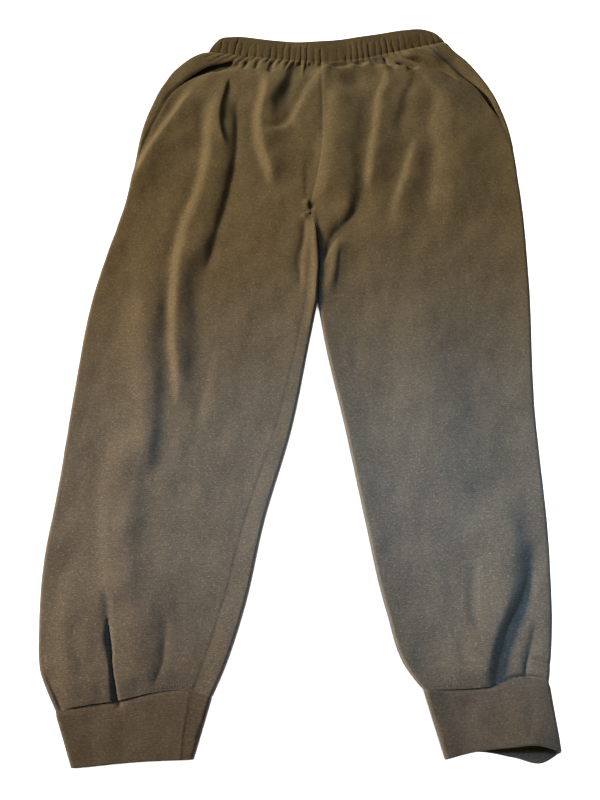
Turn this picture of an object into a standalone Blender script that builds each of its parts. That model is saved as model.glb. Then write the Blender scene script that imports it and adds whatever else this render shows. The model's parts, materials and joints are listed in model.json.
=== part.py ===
"""Jogger sweatpants laid flat on their back, front side up.

The garment is two leg tubes that share one hip tube, sewn to an elasticated waistband and to two
ankle cuffs.  Lengths are in metres, +Z is up, +Y runs from the ankles to the waist, and left and
right are as seen from above.  Every tube is a flattened ring of cloth: its underside is flat on
the floor, its two side edges roll up, and its upper side carries the folds.  Each sewn piece is a
wall between an outer skin and an inner skin, and neighbouring pieces stand a seam's gap apart.
"""

import math

import bpy

for old in list(bpy.data.objects):
    bpy.data.objects.remove(old, do_unlink=True)

# ---- cloth and laying sizes
CLOTH = 0.0020  # one layer of brushed fleece
CUFF_CLOTH = 0.0026  # doubled knit of the ankle cuffs
BAND_CLOTH = 0.0030  # waistband casing with its elastic
BAG_CLOTH = 0.0012  # pocket bag
SEAM_GAP = 0.0003
EDGE_RADIUS = 0.0050  # how far a rolled side edge bends sideways
EDGE_HEIGHT = 0.0100  # how high a rolled side edge stands
LAID_HEIGHT = 0.0076  # upper skin where the two layers lie on each other
LOWEST_SKIN = 0.0066  # upper skin at the bottom of the deepest groove
EDGE_PUFF = 0.022  # how far the rolled edge's height reaches in
SOFT_FLOOR = 0.0012  # rounding where a groove meets the lower layer

# ---- where the sewn pieces meet, down the middle and at the edges
CROTCH_Y = 0.176
WAIST_MIDDLE_Y = 0.434
LEFT, RIGHT = -1, 1

# Waist seam, and the folded top edge of the waistband: x, y.
WAIST_SEAM = ((-0.142, 0.4535), (-0.080, 0.444), (-0.008, 0.436), (0.021, 0.434), (0.072, 0.4385),
              (0.140, 0.456), (0.205, 0.474))
BAND_TOP = ((-0.136, 0.465), (-0.127, 0.476), (-0.107, 0.4825), (-0.046, 0.476), (0.004, 0.4735),
            (0.083, 0.483), (0.145, 0.4965), (0.180, 0.497), (0.192, 0.490), (0.199, 0.480))
BAND_ENDS = {"seam": (-0.142, 0.205), "top": (-0.136, 0.199)}

# Side edges and inner edges of the legs: y, x.  Above the crotch the inner edge is the front seam.
OUTER_EDGE = {
    LEFT: ((0.4535, -0.142), (0.439, -0.166), (0.419, -0.187), (0.390, -0.203), (0.335, -0.221),
           (0.205, -0.236), (0.021, -0.269), (-0.082, -0.275), (-0.212, -0.280), (-0.296, -0.285),
           (-0.359, -0.281), (-0.404, -0.274), (-0.443, -0.254)),
    RIGHT: ((0.474, 0.205), (0.454, 0.217), (0.439, 0.231), (0.419, 0.244), (0.390, 0.259),
            (0.335, 0.276), (0.205, 0.285), (0.064, 0.281), (-0.101, 0.268), (-0.296, 0.262),
            (-0.374, 0.254), (-0.415, 0.246)),
}
MIDDLE_LINE = ((0.434, 0.021), (0.327, 0.021), (0.248, 0.011), (0.176, 0.004), (0.100, 0.012),
               (0.033, 0.014))
PARTING_Y = MIDDLE_LINE[-1][0]
INNER_EDGE = {
    LEFT: (MIDDLE_LINE[-1], (-0.021, 0.004), (-0.139, -0.018), (-0.246, -0.047), (-0.343, -0.067),
           (-0.404, -0.086), (-0.430, -0.097)),
    RIGHT: (MIDDLE_LINE[-1], (-0.021, 0.022), (-0.139, 0.045), (-0.246, 0.064), (-0.343, 0.083),
            (-0.404, 0.103), (-0.422, 0.117)),
}

# How far the side seam lies in from the side edge, and the inseam from the inner edge: y, inset.
SIDE_SEAM = {
    LEFT: ((0.4535, 0.058), (0.440, 0.0515), (0.427, 0.042), (0.412, 0.0335), (0.394, 0.025), (0.373, 0.018),
           (0.338, 0.0155), (0.308, 0.012), (0.270, 0.006), (0.235, 0.0)),
    RIGHT: ((0.474, 0.056), (0.444, 0.040), (0.415, 0.024), (0.380, 0.014), (0.338, 0.010), (0.300, 0.006),
            (0.265, 0.0)),
}
INSEAM = {
    LEFT: ((CROTCH_Y, 0.0), (0.150, 0.006), (0.100, 0.011), (-0.050, 0.014), (-0.246, 0.021), (-0.404, 0.021),
           (-0.430, 0.018)),
    RIGHT: ((CROTCH_Y, 0.0), (-0.422, 0.0)),
}

# Pocket mouths in the side seam: where they start and end, how wide they gape, how deep the bag is.
POCKETS = {
    LEFT: {"top": 0.438, "bottom": 0.290, "gape": 0.0034, "depth": 0.105},
    RIGHT: {"top": 0.450, "bottom": 0.310, "gape": 0.0020, "depth": 0.105},
}
BAG_BELOW_MOUTH = 0.045
BAG_BEHIND_SEAM = 0.020

# Ankle seams and cuff hems: x, y.  The right cuff's back layer shows below its lifted front hem.
ANKLE_SEAM = {
    LEFT: ((-0.254, -0.443), (-0.223, -0.437), (-0.193, -0.433), (-0.150, -0.424), (-0.123, -0.423),
           (-0.097, -0.430)),
    RIGHT: ((0.117, -0.422), (0.164, -0.420), (0.191, -0.427), (0.221, -0.413), (0.246, -0.415)),
}
FRONT_HEM = {
    LEFT: ((-0.232, -0.495), (-0.165, -0.489), (-0.112, -0.487)),
    RIGHT: ((0.134, -0.487), (0.164, -0.480), (0.200, -0.476), (0.222, -0.474), (0.249, -0.480)),
}
BACK_HEM = {
    LEFT: FRONT_HEM[LEFT],
    RIGHT: ((0.134, -0.487), (0.164, -0.480), (0.203, -0.485), (0.230, -0.490), (0.249, -0.481)),
}
CUFF_EDGES = {  # side edge and inner edge, at the ankle seam and at the hem
    LEFT: {"outer": (-0.254, -0.232), "inner": (-0.097, -0.112)},
    RIGHT: {"outer": (0.246, 0.249), "inner": (0.117, 0.134)},
}
CUFF_LAID_HEIGHT = 0.0072
CUFF_EDGE_HEIGHT = 0.0095
RIGHT_MOUTH = {"x": 0.218, "width": 0.026, "lift": 0.0075}

# Gathers that the waist elastic draws up across the front: the troughs between them, as a share of
# the waist seam's length from its left end, and how deep each one is.
TROUGHS = ((0.020, 0.5), (0.050, 0.6), (0.082, 0.7), (0.112, 1.0), (0.139, 0.8), (0.167, 0.9), (0.203, 0.8),
           (0.233, 0.6), (0.262, 1.0), (0.289, 0.9), (0.315, 0.8), (0.345, 0.8), (0.368, 0.5), (0.391, 0.9),
           (0.415, 0.8), (0.447, 0.9), (0.474, 1.0), (0.505, 0.4), (0.545, 0.4), (0.580, 1.0), (0.604, 0.8),
           (0.630, 0.9), (0.654, 0.9), (0.678, 1.0), (0.705, 0.5), (0.730, 0.9), (0.755, 0.9), (0.781, 1.0),
           (0.806, 0.9), (0.835, 0.5), (0.865, 0.9), (0.897, 0.8), (0.928, 0.8), (0.956, 0.9), (0.980, 0.6))
GATHER_RISE = 0.0018
GATHER_REACH = 0.030  # how far they run down the leg panels

# Folds of the front: height (grooves are negative), width to the left and right of the line, and
# the line itself from the waist down as x, y.
FOLDS = {
    "hip roll, left": (0.0080, 0.012, 0.024, ((-0.157, 0.385), (-0.182, 0.328), (-0.203, 0.284), (-0.219, 0.235),
                                            (-0.232, 0.185))),
    "pocket channel": (-0.0045, 0.010, 0.012, ((-0.098, 0.440), (-0.134, 0.422), (-0.163, 0.398), (-0.184, 0.362),
                                               (-0.194, 0.320))),
    "yoke slit": (-0.0055, 0.009, 0.009, ((-0.117, 0.415), (-0.124, 0.370), (-0.122, 0.330), (-0.116, 0.300))),
    "thigh ridge": (0.0140, 0.018, 0.012, ((-0.132, 0.398), (-0.139, 0.308), (-0.141, 0.250), (-0.145, 0.198),
                                          (-0.161, 0.159), (-0.165, 0.079), (-0.161, -0.020), (-0.156, -0.100))),
    "thigh groove": (-0.0090, 0.010, 0.011, ((-0.106, 0.345), (-0.095, 0.272), (-0.100, 0.221), (-0.107, 0.180),
                                            (-0.116, 0.130), (-0.124, 0.080))),
    "waist bulge": (0.0075, 0.012, 0.015, ((-0.062, 0.400), (-0.068, 0.343), (-0.070, 0.305), (-0.063, 0.265),
                                          (-0.052, 0.210))),
    "swag hollow": (-0.0070, 0.012, 0.011, ((-0.022, 0.430), (-0.031, 0.389), (-0.038, 0.355), (-0.041, 0.325))),
    "swag": (0.0065, 0.010, 0.014, ((0.018, 0.422), (-0.008, 0.380), (-0.021, 0.338), (-0.037, 0.310),
                                   (-0.056, 0.300))),
    "front seam ridge": (0.0095, 0.013, 0.026, ((0.036, 0.425), (0.032, 0.345), (0.026, 0.280), (0.018, 0.225),
                                               (0.009, 0.170))),
    "rise groove": (-0.0080, 0.018, 0.010, ((0.055, 0.320), (0.061, 0.265), (0.061, 0.220), (0.052, 0.175),
                                           (0.038, 0.140), (0.022, 0.095))),
    "thigh roll, right": (0.0045, 0.010, 0.012, ((0.036, 0.145), (0.042, 0.110), (0.040, 0.075), (0.033, 0.040))),
    "front ridge, right": (0.0100, 0.014, 0.013, ((0.114, 0.420), (0.105, 0.361), (0.094, 0.305), (0.084, 0.240),
                                                 (0.073, 0.170))),
    "waist groove, right": (-0.0065, 0.010, 0.013, ((0.155, 0.430), (0.144, 0.389), (0.130, 0.350), (0.122, 0.300))),
    "hip ridge, right": (0.0070, 0.014, 0.022, ((0.160, 0.330), (0.135, 0.245), (0.114, 0.165), (0.108, 0.110))),
    "hip bulge, right": (0.0060, 0.012, 0.040, ((0.198, 0.400), (0.196, 0.300), (0.180, 0.170), (0.172, 0.060))),
    "pocket crease, right": (-0.0030, 0.012, 0.009, ((0.180, 0.445), (0.221, 0.413), (0.246, 0.378), (0.262, 0.336))),
    "knee groove": (-0.0055, 0.014, 0.014, ((-0.172, -0.020), (-0.172, -0.090), (-0.170, -0.150), (-0.168, -0.200))),
    "shin ridge": (0.0095, 0.020, 0.017, ((-0.222, -0.090), (-0.229, -0.180), (-0.226, -0.250), (-0.220, -0.320))),
    "shin slope": (-0.0050, 0.015, 0.016, ((-0.200, -0.150), (-0.192, -0.240), (-0.186, -0.300), (-0.178, -0.350))),
    "ankle bulge, left": (0.0100, 0.024, 0.024, ((-0.262, -0.290), (-0.262, -0.355), (-0.246, -0.420))),
    "ankle slit": (-0.0110, 0.009, 0.009, ((-0.212, -0.325), (-0.204, -0.380), (-0.196, -0.425), (-0.192, -0.445))),
    "ankle bulge, mid": (0.0095, 0.018, 0.018, ((-0.176, -0.330), (-0.172, -0.385), (-0.172, -0.432))),
    "ankle groove, left": (-0.0065, 0.010, 0.010, ((-0.146, -0.320), (-0.143, -0.370), (-0.150, -0.430))),
    "ankle bulge, inner": (0.0060, 0.016, 0.014, ((-0.118, -0.320), (-0.120, -0.370), (-0.124, -0.430))),
    "inner roll": (0.0050, 0.010, 0.008, ((0.006, 0.175), (0.003, 0.120), (-0.002, 0.060), (-0.010, 0.010))),
    "thigh shade": (-0.0035, 0.020, 0.020, ((0.103, 0.190), (0.094, 0.090), (0.092, 0.020))),
    "knee ridge, right": (0.0045, 0.040, 0.040, ((0.150, 0.060), (0.150, -0.100), (0.158, -0.230))),
    "ankle bulge, right": (0.0085, 0.026, 0.014, ((0.212, -0.230), (0.196, -0.330), (0.178, -0.410))),
    "ankle wedge": (-0.0105, 0.009, 0.014, ((0.238, -0.260), (0.224, -0.333), (0.206, -0.380), (0.192, -0.432))),
    "ankle roll, right": (0.0080, 0.010, 0.016, ((0.246, -0.290), (0.238, -0.360), (0.228, -0.418))),
    "ankle hollow": (-0.0030, 0.012, 0.012, ((0.160, -0.330), (0.154, -0.400))),
}
FOLD_FADE = 0.28  # share of a fold's length over which it rises at each end

# Heights of the sewn seams across the front panel's rows: y of the row at the inner edge.
YOKE_ROWS = (0.434, 0.424, 0.410)
BODY_ROWS = (0.385, 0.360, 0.335, 0.310, 0.285, 0.260, 0.235, 0.210, 0.184, 0.171, 0.150, 0.120, 0.080,
             PARTING_Y, 0.000, -0.045, -0.090, -0.135, -0.180, -0.225, -0.262, -0.295, -0.322, -0.347,
             -0.370, -0.390, -0.408)
BODY_COLUMN = 0.0125  # spacing of the panel's columns
BACK_COLUMN = 0.040


# ---- curves and folds


def smooth(rows):
    """A smooth curve through rows of (position, value), held level past both ends."""
    rows = sorted(rows)
    steps = [(b[1] - a[1]) / (b[0] - a[0]) for a, b in zip(rows, rows[1:])]
    gaps = [b[0] - a[0] for a, b in zip(rows, rows[1:])]
    slopes = [steps[0]]
    for k in range(1, len(steps)):
        slopes.append((gaps[k] * steps[k - 1] + gaps[k - 1] * steps[k]) / (gaps[k - 1] + gaps[k]))
    slopes.append(steps[-1])

    def value(at):
        if at <= rows[0][0]:
            return rows[0][1]
        if at >= rows[-1][0]:
            return rows[-1][1]
        k = max(i for i, row in enumerate(rows[:-1]) if row[0] <= at)
        t = (at - rows[k][0]) / gaps[k]
        rise = gaps[k] * (t * (1 - t) ** 2 * slopes[k] - t * t * (1 - t) * slopes[k + 1])
        return rows[k][1] + t * t * (3 - 2 * t) * (rows[k + 1][1] - rows[k][1]) + rise

    return value


def seam_line(rows, ends, shares):
    """A seam sewn in straight runs between shares of its length, so both its pieces meet it alike."""
    curve = smooth(rows)
    corners = [(mix(*ends, share), curve(mix(*ends, share))) for share in [0.0, *shares, 1.0]]

    def value(x):
        k = max([0] + [i for i, corner in enumerate(corners[:-1]) if corner[0] <= x])
        (ax, ay), (bx, by) = corners[k], corners[k + 1]
        return mix(ay, by, (x - ax) / (bx - ax))

    return value


def ease(t):
    """0 below 0, 1 above 1, and a smooth rise between."""
    t = min(1.0, max(0.0, t))
    return t * t * (3 - 2 * t)


def mix(a, b, t):
    return a + (b - a) * t


def fold_height(x, y, fold):
    """Height that one fold adds at a point: tallest on its line, fading sideways and at its ends."""
    height, left_width, right_width, line = fold
    lengths = [math.dist(a, b) for a, b in zip(line, line[1:])]
    nearest, run, along, side = 1e9, 0.0, 0.0, 0.0
    for (ax, ay), (bx, by), length in zip(line, line[1:], lengths):
        t = ((x - ax) * (bx - ax) + (y - ay) * (by - ay)) / length**2
        t = min(1.0, max(0.0, t))
        distance = math.hypot(x - mix(ax, bx, t), y - mix(ay, by, t))
        if distance < nearest:
            nearest, along = distance, run + t * length
            side = (bx - ax) * (y - ay) - (by - ay) * (x - ax)
        run += length
    width = left_width if side < 0 else right_width
    fade = FOLD_FADE * run
    ends = ease(along / fade) * ease((run - along) / fade)
    return height * ends * math.exp(-((nearest / width) ** 2))


def above(height, floor):
    """height, but rounded off so that it never drops below floor."""
    spare = height - floor
    return floor + 0.5 * (spare + math.sqrt(spare * spare + SOFT_FLOOR * SOFT_FLOOR))


def front_height(x, y, from_edge, from_inner):
    """Height of the front's upper skin, from_edge and from_inner being the distances to the two rolls."""
    puff = math.exp(-((from_edge / EDGE_PUFF) ** 2)) + math.exp(-((from_inner / EDGE_PUFF) ** 2))
    height = LAID_HEIGHT + (EDGE_HEIGHT - LAID_HEIGHT) * puff
    height += sum(fold_height(x, y, fold) for fold in FOLDS.values())
    return above(height, LOWEST_SKIN)


# ---- waist gathers, shared by the band and the leg panels under it

GATHER_LINES = [0.0] + [place for place, _ in TROUGHS] + [1.0]
TROUGH_DEPTHS = [0.4] + [depth for _, depth in TROUGHS] + [0.4]
WAIST_RUNS = GATHER_LINES[3:-1:3]  # corners of the waist seam's straight runs, as shares of its length
ANKLE_RUNS = [k / 10 for k in range(1, 10)]


def gather_wave(share):
    """Down to -1 in the deepest troughs and up to 0 on the crests, at a share of the waist seam's length."""
    share = min(1.0, max(0.0, share))
    k = max(i for i, line in enumerate(GATHER_LINES[:-1]) if line <= share)
    t = (share - GATHER_LINES[k]) / (GATHER_LINES[k + 1] - GATHER_LINES[k])
    return (math.sin(math.pi * t) - 1.0) * mix(TROUGH_DEPTHS[k], TROUGH_DEPTHS[k + 1], t)


def gather_columns():
    """Shares of the seam's length that catch each trough, crest and flank."""
    shares = []
    for a, b in zip(GATHER_LINES, GATHER_LINES[1:]):
        shares += [mix(a, b, quarter / 4) for quarter in range(4)]
    return shares + [1.0]


def waist_share(x):
    left, right = BAND_ENDS["seam"]
    return (x - left) / (right - left)


# ---- a flattened ring of cloth


class Ring:
    """One section of a laid tube: width across, and functions for its place and upper height.

    A place on the ring is a layer, "over" or "under", and a mark: 0 at the side edge, 1 where the
    side roll ends, 2 where the inner roll begins and 3 at the inner edge.
    """

    def __init__(self, width, place, height, outer_radius=EDGE_RADIUS, inner_radius=EDGE_RADIUS):
        self.width, self.place, self.height = width, place, height
        self.outer_radius, self.inner_radius = outer_radius, inner_radius

    def across(self, mark):
        """Distance from the side edge at a mark."""
        if mark < 1:
            return self.outer_radius * (1 - math.cos(0.5 * math.pi * mark))
        if mark > 2:
            return self.width - self.inner_radius * (1 - math.sin(0.5 * math.pi * (mark - 2)))
        return mix(self.outer_radius, self.width - self.inner_radius, mark - 1)

    def mark(self, across):
        """The mark at a distance from the side edge."""
        if across < self.outer_radius:
            return math.acos(1 - across / self.outer_radius) / (0.5 * math.pi)
        if across > self.width - self.inner_radius:
            return 2 + math.asin(1 - (self.width - across) / self.inner_radius) / (0.5 * math.pi)
        return 1 + (across - self.outer_radius) / (self.width - self.outer_radius - self.inner_radius)

    def level(self, layer, mark):
        """Height of the outer skin."""
        if mark < 1:
            half, lift = 0.5 * self.height(self.outer_radius), math.sin(0.5 * math.pi * mark)
        elif mark > 2:
            half, lift = 0.5 * self.height(self.width - self.inner_radius), math.cos(0.5 * math.pi * (mark - 2))
        else:
            return self.height(self.across(mark)) if layer == "over" else 0.0
        return half + half * lift if layer == "over" else half - half * lift

    def normal(self, layer, mark):
        """Outward direction in the section, as (across, up)."""
        if mark in (0, 3):
            return (-1.0, 0.0) if mark == 0 else (1.0, 0.0)
        if mark == 2 and not self.inner_radius:
            return (0.0, 1.0) if layer == "over" else (0.0, -1.0)
        step = 0.02
        low, high = max(0.0, mark - step), min(3.0 if self.inner_radius else 2.0, mark + step)
        run = self.across(high) - self.across(low)
        rise = self.level(layer, high) - self.level(layer, low)
        length = math.hypot(run, rise)
        return (-rise / length, run / length) if layer == "over" else (rise / length, -run / length)

    def points(self, layer, mark, cloth, shift=0.0):
        """Outer and inner skin points; shift moves them along the skin, away from the side edge."""
        across, level = self.across(mark), self.level(layer, mark)
        out, up = self.normal(layer, mark)
        if layer == "over":
            across, level = across + shift * up, level - shift * out
        else:
            across, level = across - shift * up, level + shift * out
        outer = self.place(across, layer) + (level,)
        inner = self.place(across - cloth * out, layer) + (level - cloth * up,)
        return outer, inner


# ---- walls


def zip_strip(first, second, keys_first, keys_second):
    """Triangles between two rows of point numbers, paired by their keys."""
    faces, i, j = [], 0, 0
    while i < len(first) - 1 or j < len(second) - 1:
        step_first = j == len(second) - 1 or (
            i < len(first) - 1 and keys_first[i + 1] + keys_first[i] <= keys_second[j + 1] + keys_second[j]
        )
        if step_first:
            faces.append((first[i], second[j], first[i + 1]))
            i += 1
        else:
            faces.append((first[i], second[j], second[j + 1]))
            j += 1
    return faces


def add_wall(name, rows, colour, roughness=0.9, closed=False):
    """A solid wall from rows of (key, outer point, inner point).  closed joins each row into a ring."""
    points, outer, inner, keys = [], [], [], []
    for row in rows:
        keys.append([key for key, _, _ in row])
        outer.append(list(range(len(points), len(points) + len(row))))
        points += [point for _, point, _ in row]
        inner.append(list(range(len(points), len(points) + len(row))))
        points += [point for _, _, point in row]
        if closed:
            span = row[-1][0] + (row[-1][0] - row[-2][0])
            keys[-1].append(span)
            outer[-1].append(outer[-1][0])
            inner[-1].append(inner[-1][0])
    faces = []
    for k in range(len(rows) - 1):
        faces += zip_strip(outer[k], outer[k + 1], keys[k], keys[k + 1])
        faces += [face[::-1] for face in zip_strip(inner[k], inner[k + 1], keys[k], keys[k + 1])]
    for row, turn in ((0, 1), (-1, -1)):
        for a, b, c, d in zip(outer[row], outer[row][1:], inner[row][1:], inner[row]):
            faces += [(a, b, c)[::turn], (a, c, d)[::turn]]
    if not closed:
        for end, turn in ((0, -1), (-1, 1)):
            line_out, line_in = [row[end] for row in outer], [row[end] for row in inner]
            for a, b, c, d in zip(line_out, line_out[1:], line_in[1:], line_in):
                faces += [(a, b, c)[::turn], (a, c, d)[::turn]]
    mesh = bpy.data.meshes.new(name)
    mesh.from_pydata(points, [], faces)
    volume = sum(
        mesh.vertices[p.vertices[0]].co.dot(
            mesh.vertices[p.vertices[1]].co.cross(mesh.vertices[p.vertices[2]].co)
        )
        for p in mesh.polygons
    )
    if volume < 0:
        mesh.flip_normals()
    mesh.shade_smooth()
    mesh.set_sharp_from_angle(angle=math.radians(50))
    wall = bpy.data.objects.new(name, mesh)
    bpy.context.scene.collection.objects.link(wall)
    material = bpy.data.materials.get(colour[0]) or bpy.data.materials.new(colour[0])
    material.use_nodes = True
    shader = material.node_tree.nodes["Principled BSDF"]
    shader.inputs["Base Color"].default_value = (*colour[1], 1.0)
    shader.inputs["Roughness"].default_value = roughness
    shader.inputs["Metallic"].default_value = 0.0
    mesh.materials.append(material)
    return wall


FLEECE = ("fleece", (0.135, 0.115, 0.088))
KNIT = ("cuff_knit", (0.120, 0.105, 0.083))
BAND_FLEECE = ("band_fleece", (0.105, 0.086, 0.060))
BAG = ("pocket_bag", (0.080, 0.068, 0.052))


# ---- the leg panels


def inner_edge(side, y):
    return middle_line(y) if y >= PARTING_Y else parted_edge[side](y)


waist_seam = seam_line(WAIST_SEAM, BAND_ENDS["seam"], WAIST_RUNS)
outer_edge = {side: smooth(rows) for side, rows in OUTER_EDGE.items()}
middle_line = smooth(MIDDLE_LINE)
parted_edge = {side: smooth(rows) for side, rows in INNER_EDGE.items()}
side_inset = {side: smooth(rows) for side, rows in SIDE_SEAM.items()}
inseam_inset = {side: smooth(rows) for side, rows in INSEAM.items()}
ankle_seam = {}
for side, rows in ANKLE_SEAM.items():
    shares = ANKLE_RUNS if side == RIGHT else [1 - share for share in reversed(ANKLE_RUNS)]
    ankle_seam[side] = seam_line(rows, (rows[0][0], rows[-1][0]), shares)
waist_corner_y = {side: OUTER_EDGE[side][0][0] for side in (LEFT, RIGHT)}
ankle_corner_y = {side: OUTER_EDGE[side][-1][0] for side in (LEFT, RIGHT)}
ankle_inner_y = {side: INNER_EDGE[side][-1][0] for side in (LEFT, RIGHT)}


def leg_ring(side, inner_y):
    """The ring of one half whose inner end is at inner_y.  Above the crotch it has no inner roll."""
    down = (WAIST_MIDDLE_Y - inner_y) / (WAIST_MIDDLE_Y - ankle_inner_y[side])
    outer_y = mix(waist_corner_y[side], ankle_corner_y[side], down)
    outer_x, inner_x = outer_edge[side](outer_y), inner_edge(side, inner_y)
    inner_x += side * 0.5 * SEAM_GAP
    width = side * (outer_x - inner_x)
    near_waist = ease(1 - down / 0.11)
    near_ankle = ease((down - 0.90) / 0.10)
    at_waist, at_ankle = down < 1e-6, down > 1 - 1e-6
    seam_shift = -0.5 * SEAM_GAP if at_waist else 0.5 * SEAM_GAP if at_ankle else 0.0
    waist_x = (outer_edge[side](waist_corner_y[side]), middle_line(WAIST_MIDDLE_Y))
    ankle_x = (outer_edge[side](ankle_corner_y[side]), inner_edge(side, ankle_inner_y[side]))

    def row_y(share):
        y = mix(outer_y, inner_y, share)
        bow_waist = waist_seam(mix(*waist_x, share)) - mix(waist_corner_y[side], WAIST_MIDDLE_Y, share)
        bow_ankle = ankle_seam[side](mix(*ankle_x, share)) - mix(ankle_corner_y[side], ankle_inner_y[side], share)
        return y + near_waist * bow_waist + near_ankle * bow_ankle + seam_shift

    def place(across, layer):
        return (outer_x - side * across, row_y(across / width))

    parted = inner_y < CROTCH_Y
    gather_fade = ease(1 - (WAIST_MIDDLE_Y - inner_y) / GATHER_REACH)

    def height(across):
        share = across / width
        x, y = place(across, "over")
        rise = front_height(x, y, across, width - across if parted else 1.0)
        if gather_fade > 0:
            rise += gather_fade * GATHER_RISE * (0.5 + gather_wave(waist_share(mix(*waist_x, share))))
        ends = max(ease(1 - down / 0.05), ease(1 - (1 - down) / 0.045))
        low = LAID_HEIGHT + (EDGE_HEIGHT - LAID_HEIGHT) * math.exp(-((across / EDGE_PUFF) ** 2))
        return mix(rise, above(low + 0.35 * (rise - low), LOWEST_SKIN), ends)

    return Ring(width, place, height, inner_radius=EDGE_RADIUS if parted else 0.0)


def waist_columns(side, width, shares):
    """Distances from the side edge, in a row of this width, of shares of the waist seam's length."""
    left, right = BAND_ENDS["seam"]
    corner = right if side == RIGHT else left
    waist_width = side * (corner - MIDDLE_LINE[0][1])
    columns = [side * (corner - mix(left, right, share)) / waist_width * width for share in shares]
    return [across for across in columns if EDGE_RADIUS + 0.002 < across < width - 0.002]


def row_columns(side, ring, inner_y):
    """Distances from the side edge of one row's columns, rolls included."""
    width, edge = ring.width, ring.outer_radius
    columns = [0.0, ring.across(0.5), edge]
    if inner_y >= YOKE_ROWS[-1]:
        columns += waist_columns(side, width, gather_columns())
    elif inner_y == ankle_inner_y[side]:
        columns += [share * width for share in ANKLE_RUNS]
    else:
        inner = ring.inner_radius
        count = round((width - edge - inner) / BODY_COLUMN)
        columns += [mix(edge, width - inner, k / count) for k in range(1, count)]
    if ring.inner_radius:
        columns += [width - ring.inner_radius, ring.across(2.5)]
    return sorted(columns) + [width]


def between(values, low, high, margin=0.0022):
    return [value for value in values if low + margin < value < high - margin]


def mouth_gape(side, y):
    """How far the pocket mouth opens at a height."""
    pocket = POCKETS[side]
    t = (pocket["top"] - y) / (pocket["top"] - pocket["bottom"])
    return pocket["gape"] * math.sin(math.pi * t) if 0 < t < 1 else 0.0


def seam_marks(side, ring, inner_y):
    """Marks of the side seam and of the inseam, and the gape of the side seam."""
    outer_y = ring.place(0.0, "over")[1]
    side_mark = ring.mark(side_inset[side](outer_y))
    inner_mark = ring.mark(ring.width - inseam_inset[side](inner_y)) if ring.inner_radius else 2.0
    return side_mark, inner_mark, mouth_gape(side, outer_y)


def front_row(side, inner_y):
    ring = leg_ring(side, inner_y)
    side_mark, inner_mark, gape = seam_marks(side, ring, inner_y)
    low, high = ring.across(side_mark), ring.across(inner_mark)
    half_gap = 0.5 * (SEAM_GAP + gape)
    row = [(side_mark, *ring.points("over", side_mark, CLOTH, half_gap))]
    for across in between(row_columns(side, ring, inner_y), low + half_gap, high):
        row.append((ring.mark(across), *ring.points("over", ring.mark(across), CLOTH)))
    end_shift = -0.5 * SEAM_GAP if ring.inner_radius else 0.0
    row.append((inner_mark, *ring.points("over", inner_mark, CLOTH, end_shift)))
    return row


def back_row(side, inner_y):
    """From the side seam, round the side roll, across the floor, and round the inner roll."""
    ring = leg_ring(side, inner_y)
    side_mark, inner_mark, gape = seam_marks(side, ring, inner_y)
    low, high = ring.across(side_mark), ring.across(inner_mark)
    half_gap = 0.5 * (SEAM_GAP + gape)
    row = [(-side_mark, *ring.points("over", side_mark, CLOTH, -half_gap))]
    over_columns = row_columns(side, ring, inner_y)
    for across in reversed([a for a in over_columns if a < low - half_gap - 0.0015]):
        row.append((-ring.mark(across), *ring.points("over", ring.mark(across), CLOTH)))
    floor_width = ring.width - ring.outer_radius - ring.inner_radius
    if inner_y == WAIST_MIDDLE_Y:
        columns = sorted(waist_columns(side, ring.width, WAIST_RUNS))
    elif inner_y == ankle_inner_y[side]:
        columns = [share * ring.width for share in ANKLE_RUNS]
    else:
        count = max(2, round(floor_width / BACK_COLUMN))
        columns = [mix(ring.outer_radius, ring.width - ring.inner_radius, k / count) for k in range(1, count)]
    marks = [0.5, 1.0] + [ring.mark(across) for across in columns] + [2.0]
    if ring.inner_radius:
        marks += [2.5]
    for mark in marks:
        row.append((mark, *ring.points("under", mark, CLOTH)))
    if ring.inner_radius:
        for across in reversed([a for a in over_columns if a > high + 0.0015]):
            row.append((6 - ring.mark(across), *ring.points("over", ring.mark(across), CLOTH)))
        row.append((6 - inner_mark, *ring.points("over", inner_mark, CLOTH, 0.5 * SEAM_GAP)))
    return row


def panel_rows(side, rows):
    return YOKE_ROWS + rows + (ankle_inner_y[side],)


for side, word in ((LEFT, "left"), (RIGHT, "right")):
    rows = panel_rows(side, BODY_ROWS)
    add_wall(f"front_{word}", [front_row(side, y) for y in rows], FLEECE)
    add_wall(f"back_{word}", [back_row(side, y) for y in rows], FLEECE)


# ---- the pocket bags, flat between the two layers


def bag_rows(side):
    pocket = POCKETS[side]
    length = pocket["top"] - pocket["bottom"] + BAG_BELOW_MOUTH
    rows = []
    for k in range(9):
        t = k / 8
        y = pocket["top"] - 0.010 - t * (length - 0.010)
        outer_y = y
        edge_x = outer_edge[side](outer_y)
        seam = side_inset[side](outer_y)
        round_off = math.sqrt(max(0.0, 1 - max(0.0, (t - 0.55) / 0.45) ** 2))
        near = max(EDGE_RADIUS + CLOTH + 0.002, seam - BAG_BEHIND_SEAM)
        far = near + 0.030 + (pocket["depth"] - 0.030) * (0.55 + 0.45 * ease(t / 0.5)) * (0.25 + 0.75 * round_off)
        row = []
        for j in range(5):
            x = edge_x - side * mix(near, far, j / 4)
            top = CLOTH + SEAM_GAP + BAG_CLOTH
            row.append((j, (x, y, top), (x, y, top - BAG_CLOTH)))
        rows.append(row)
    return rows


for side, word in ((LEFT, "left"), (RIGHT, "right")):
    add_wall(f"pocket_bag_{word}", bag_rows(side), BAG)


# ---- the ankle cuffs


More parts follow.
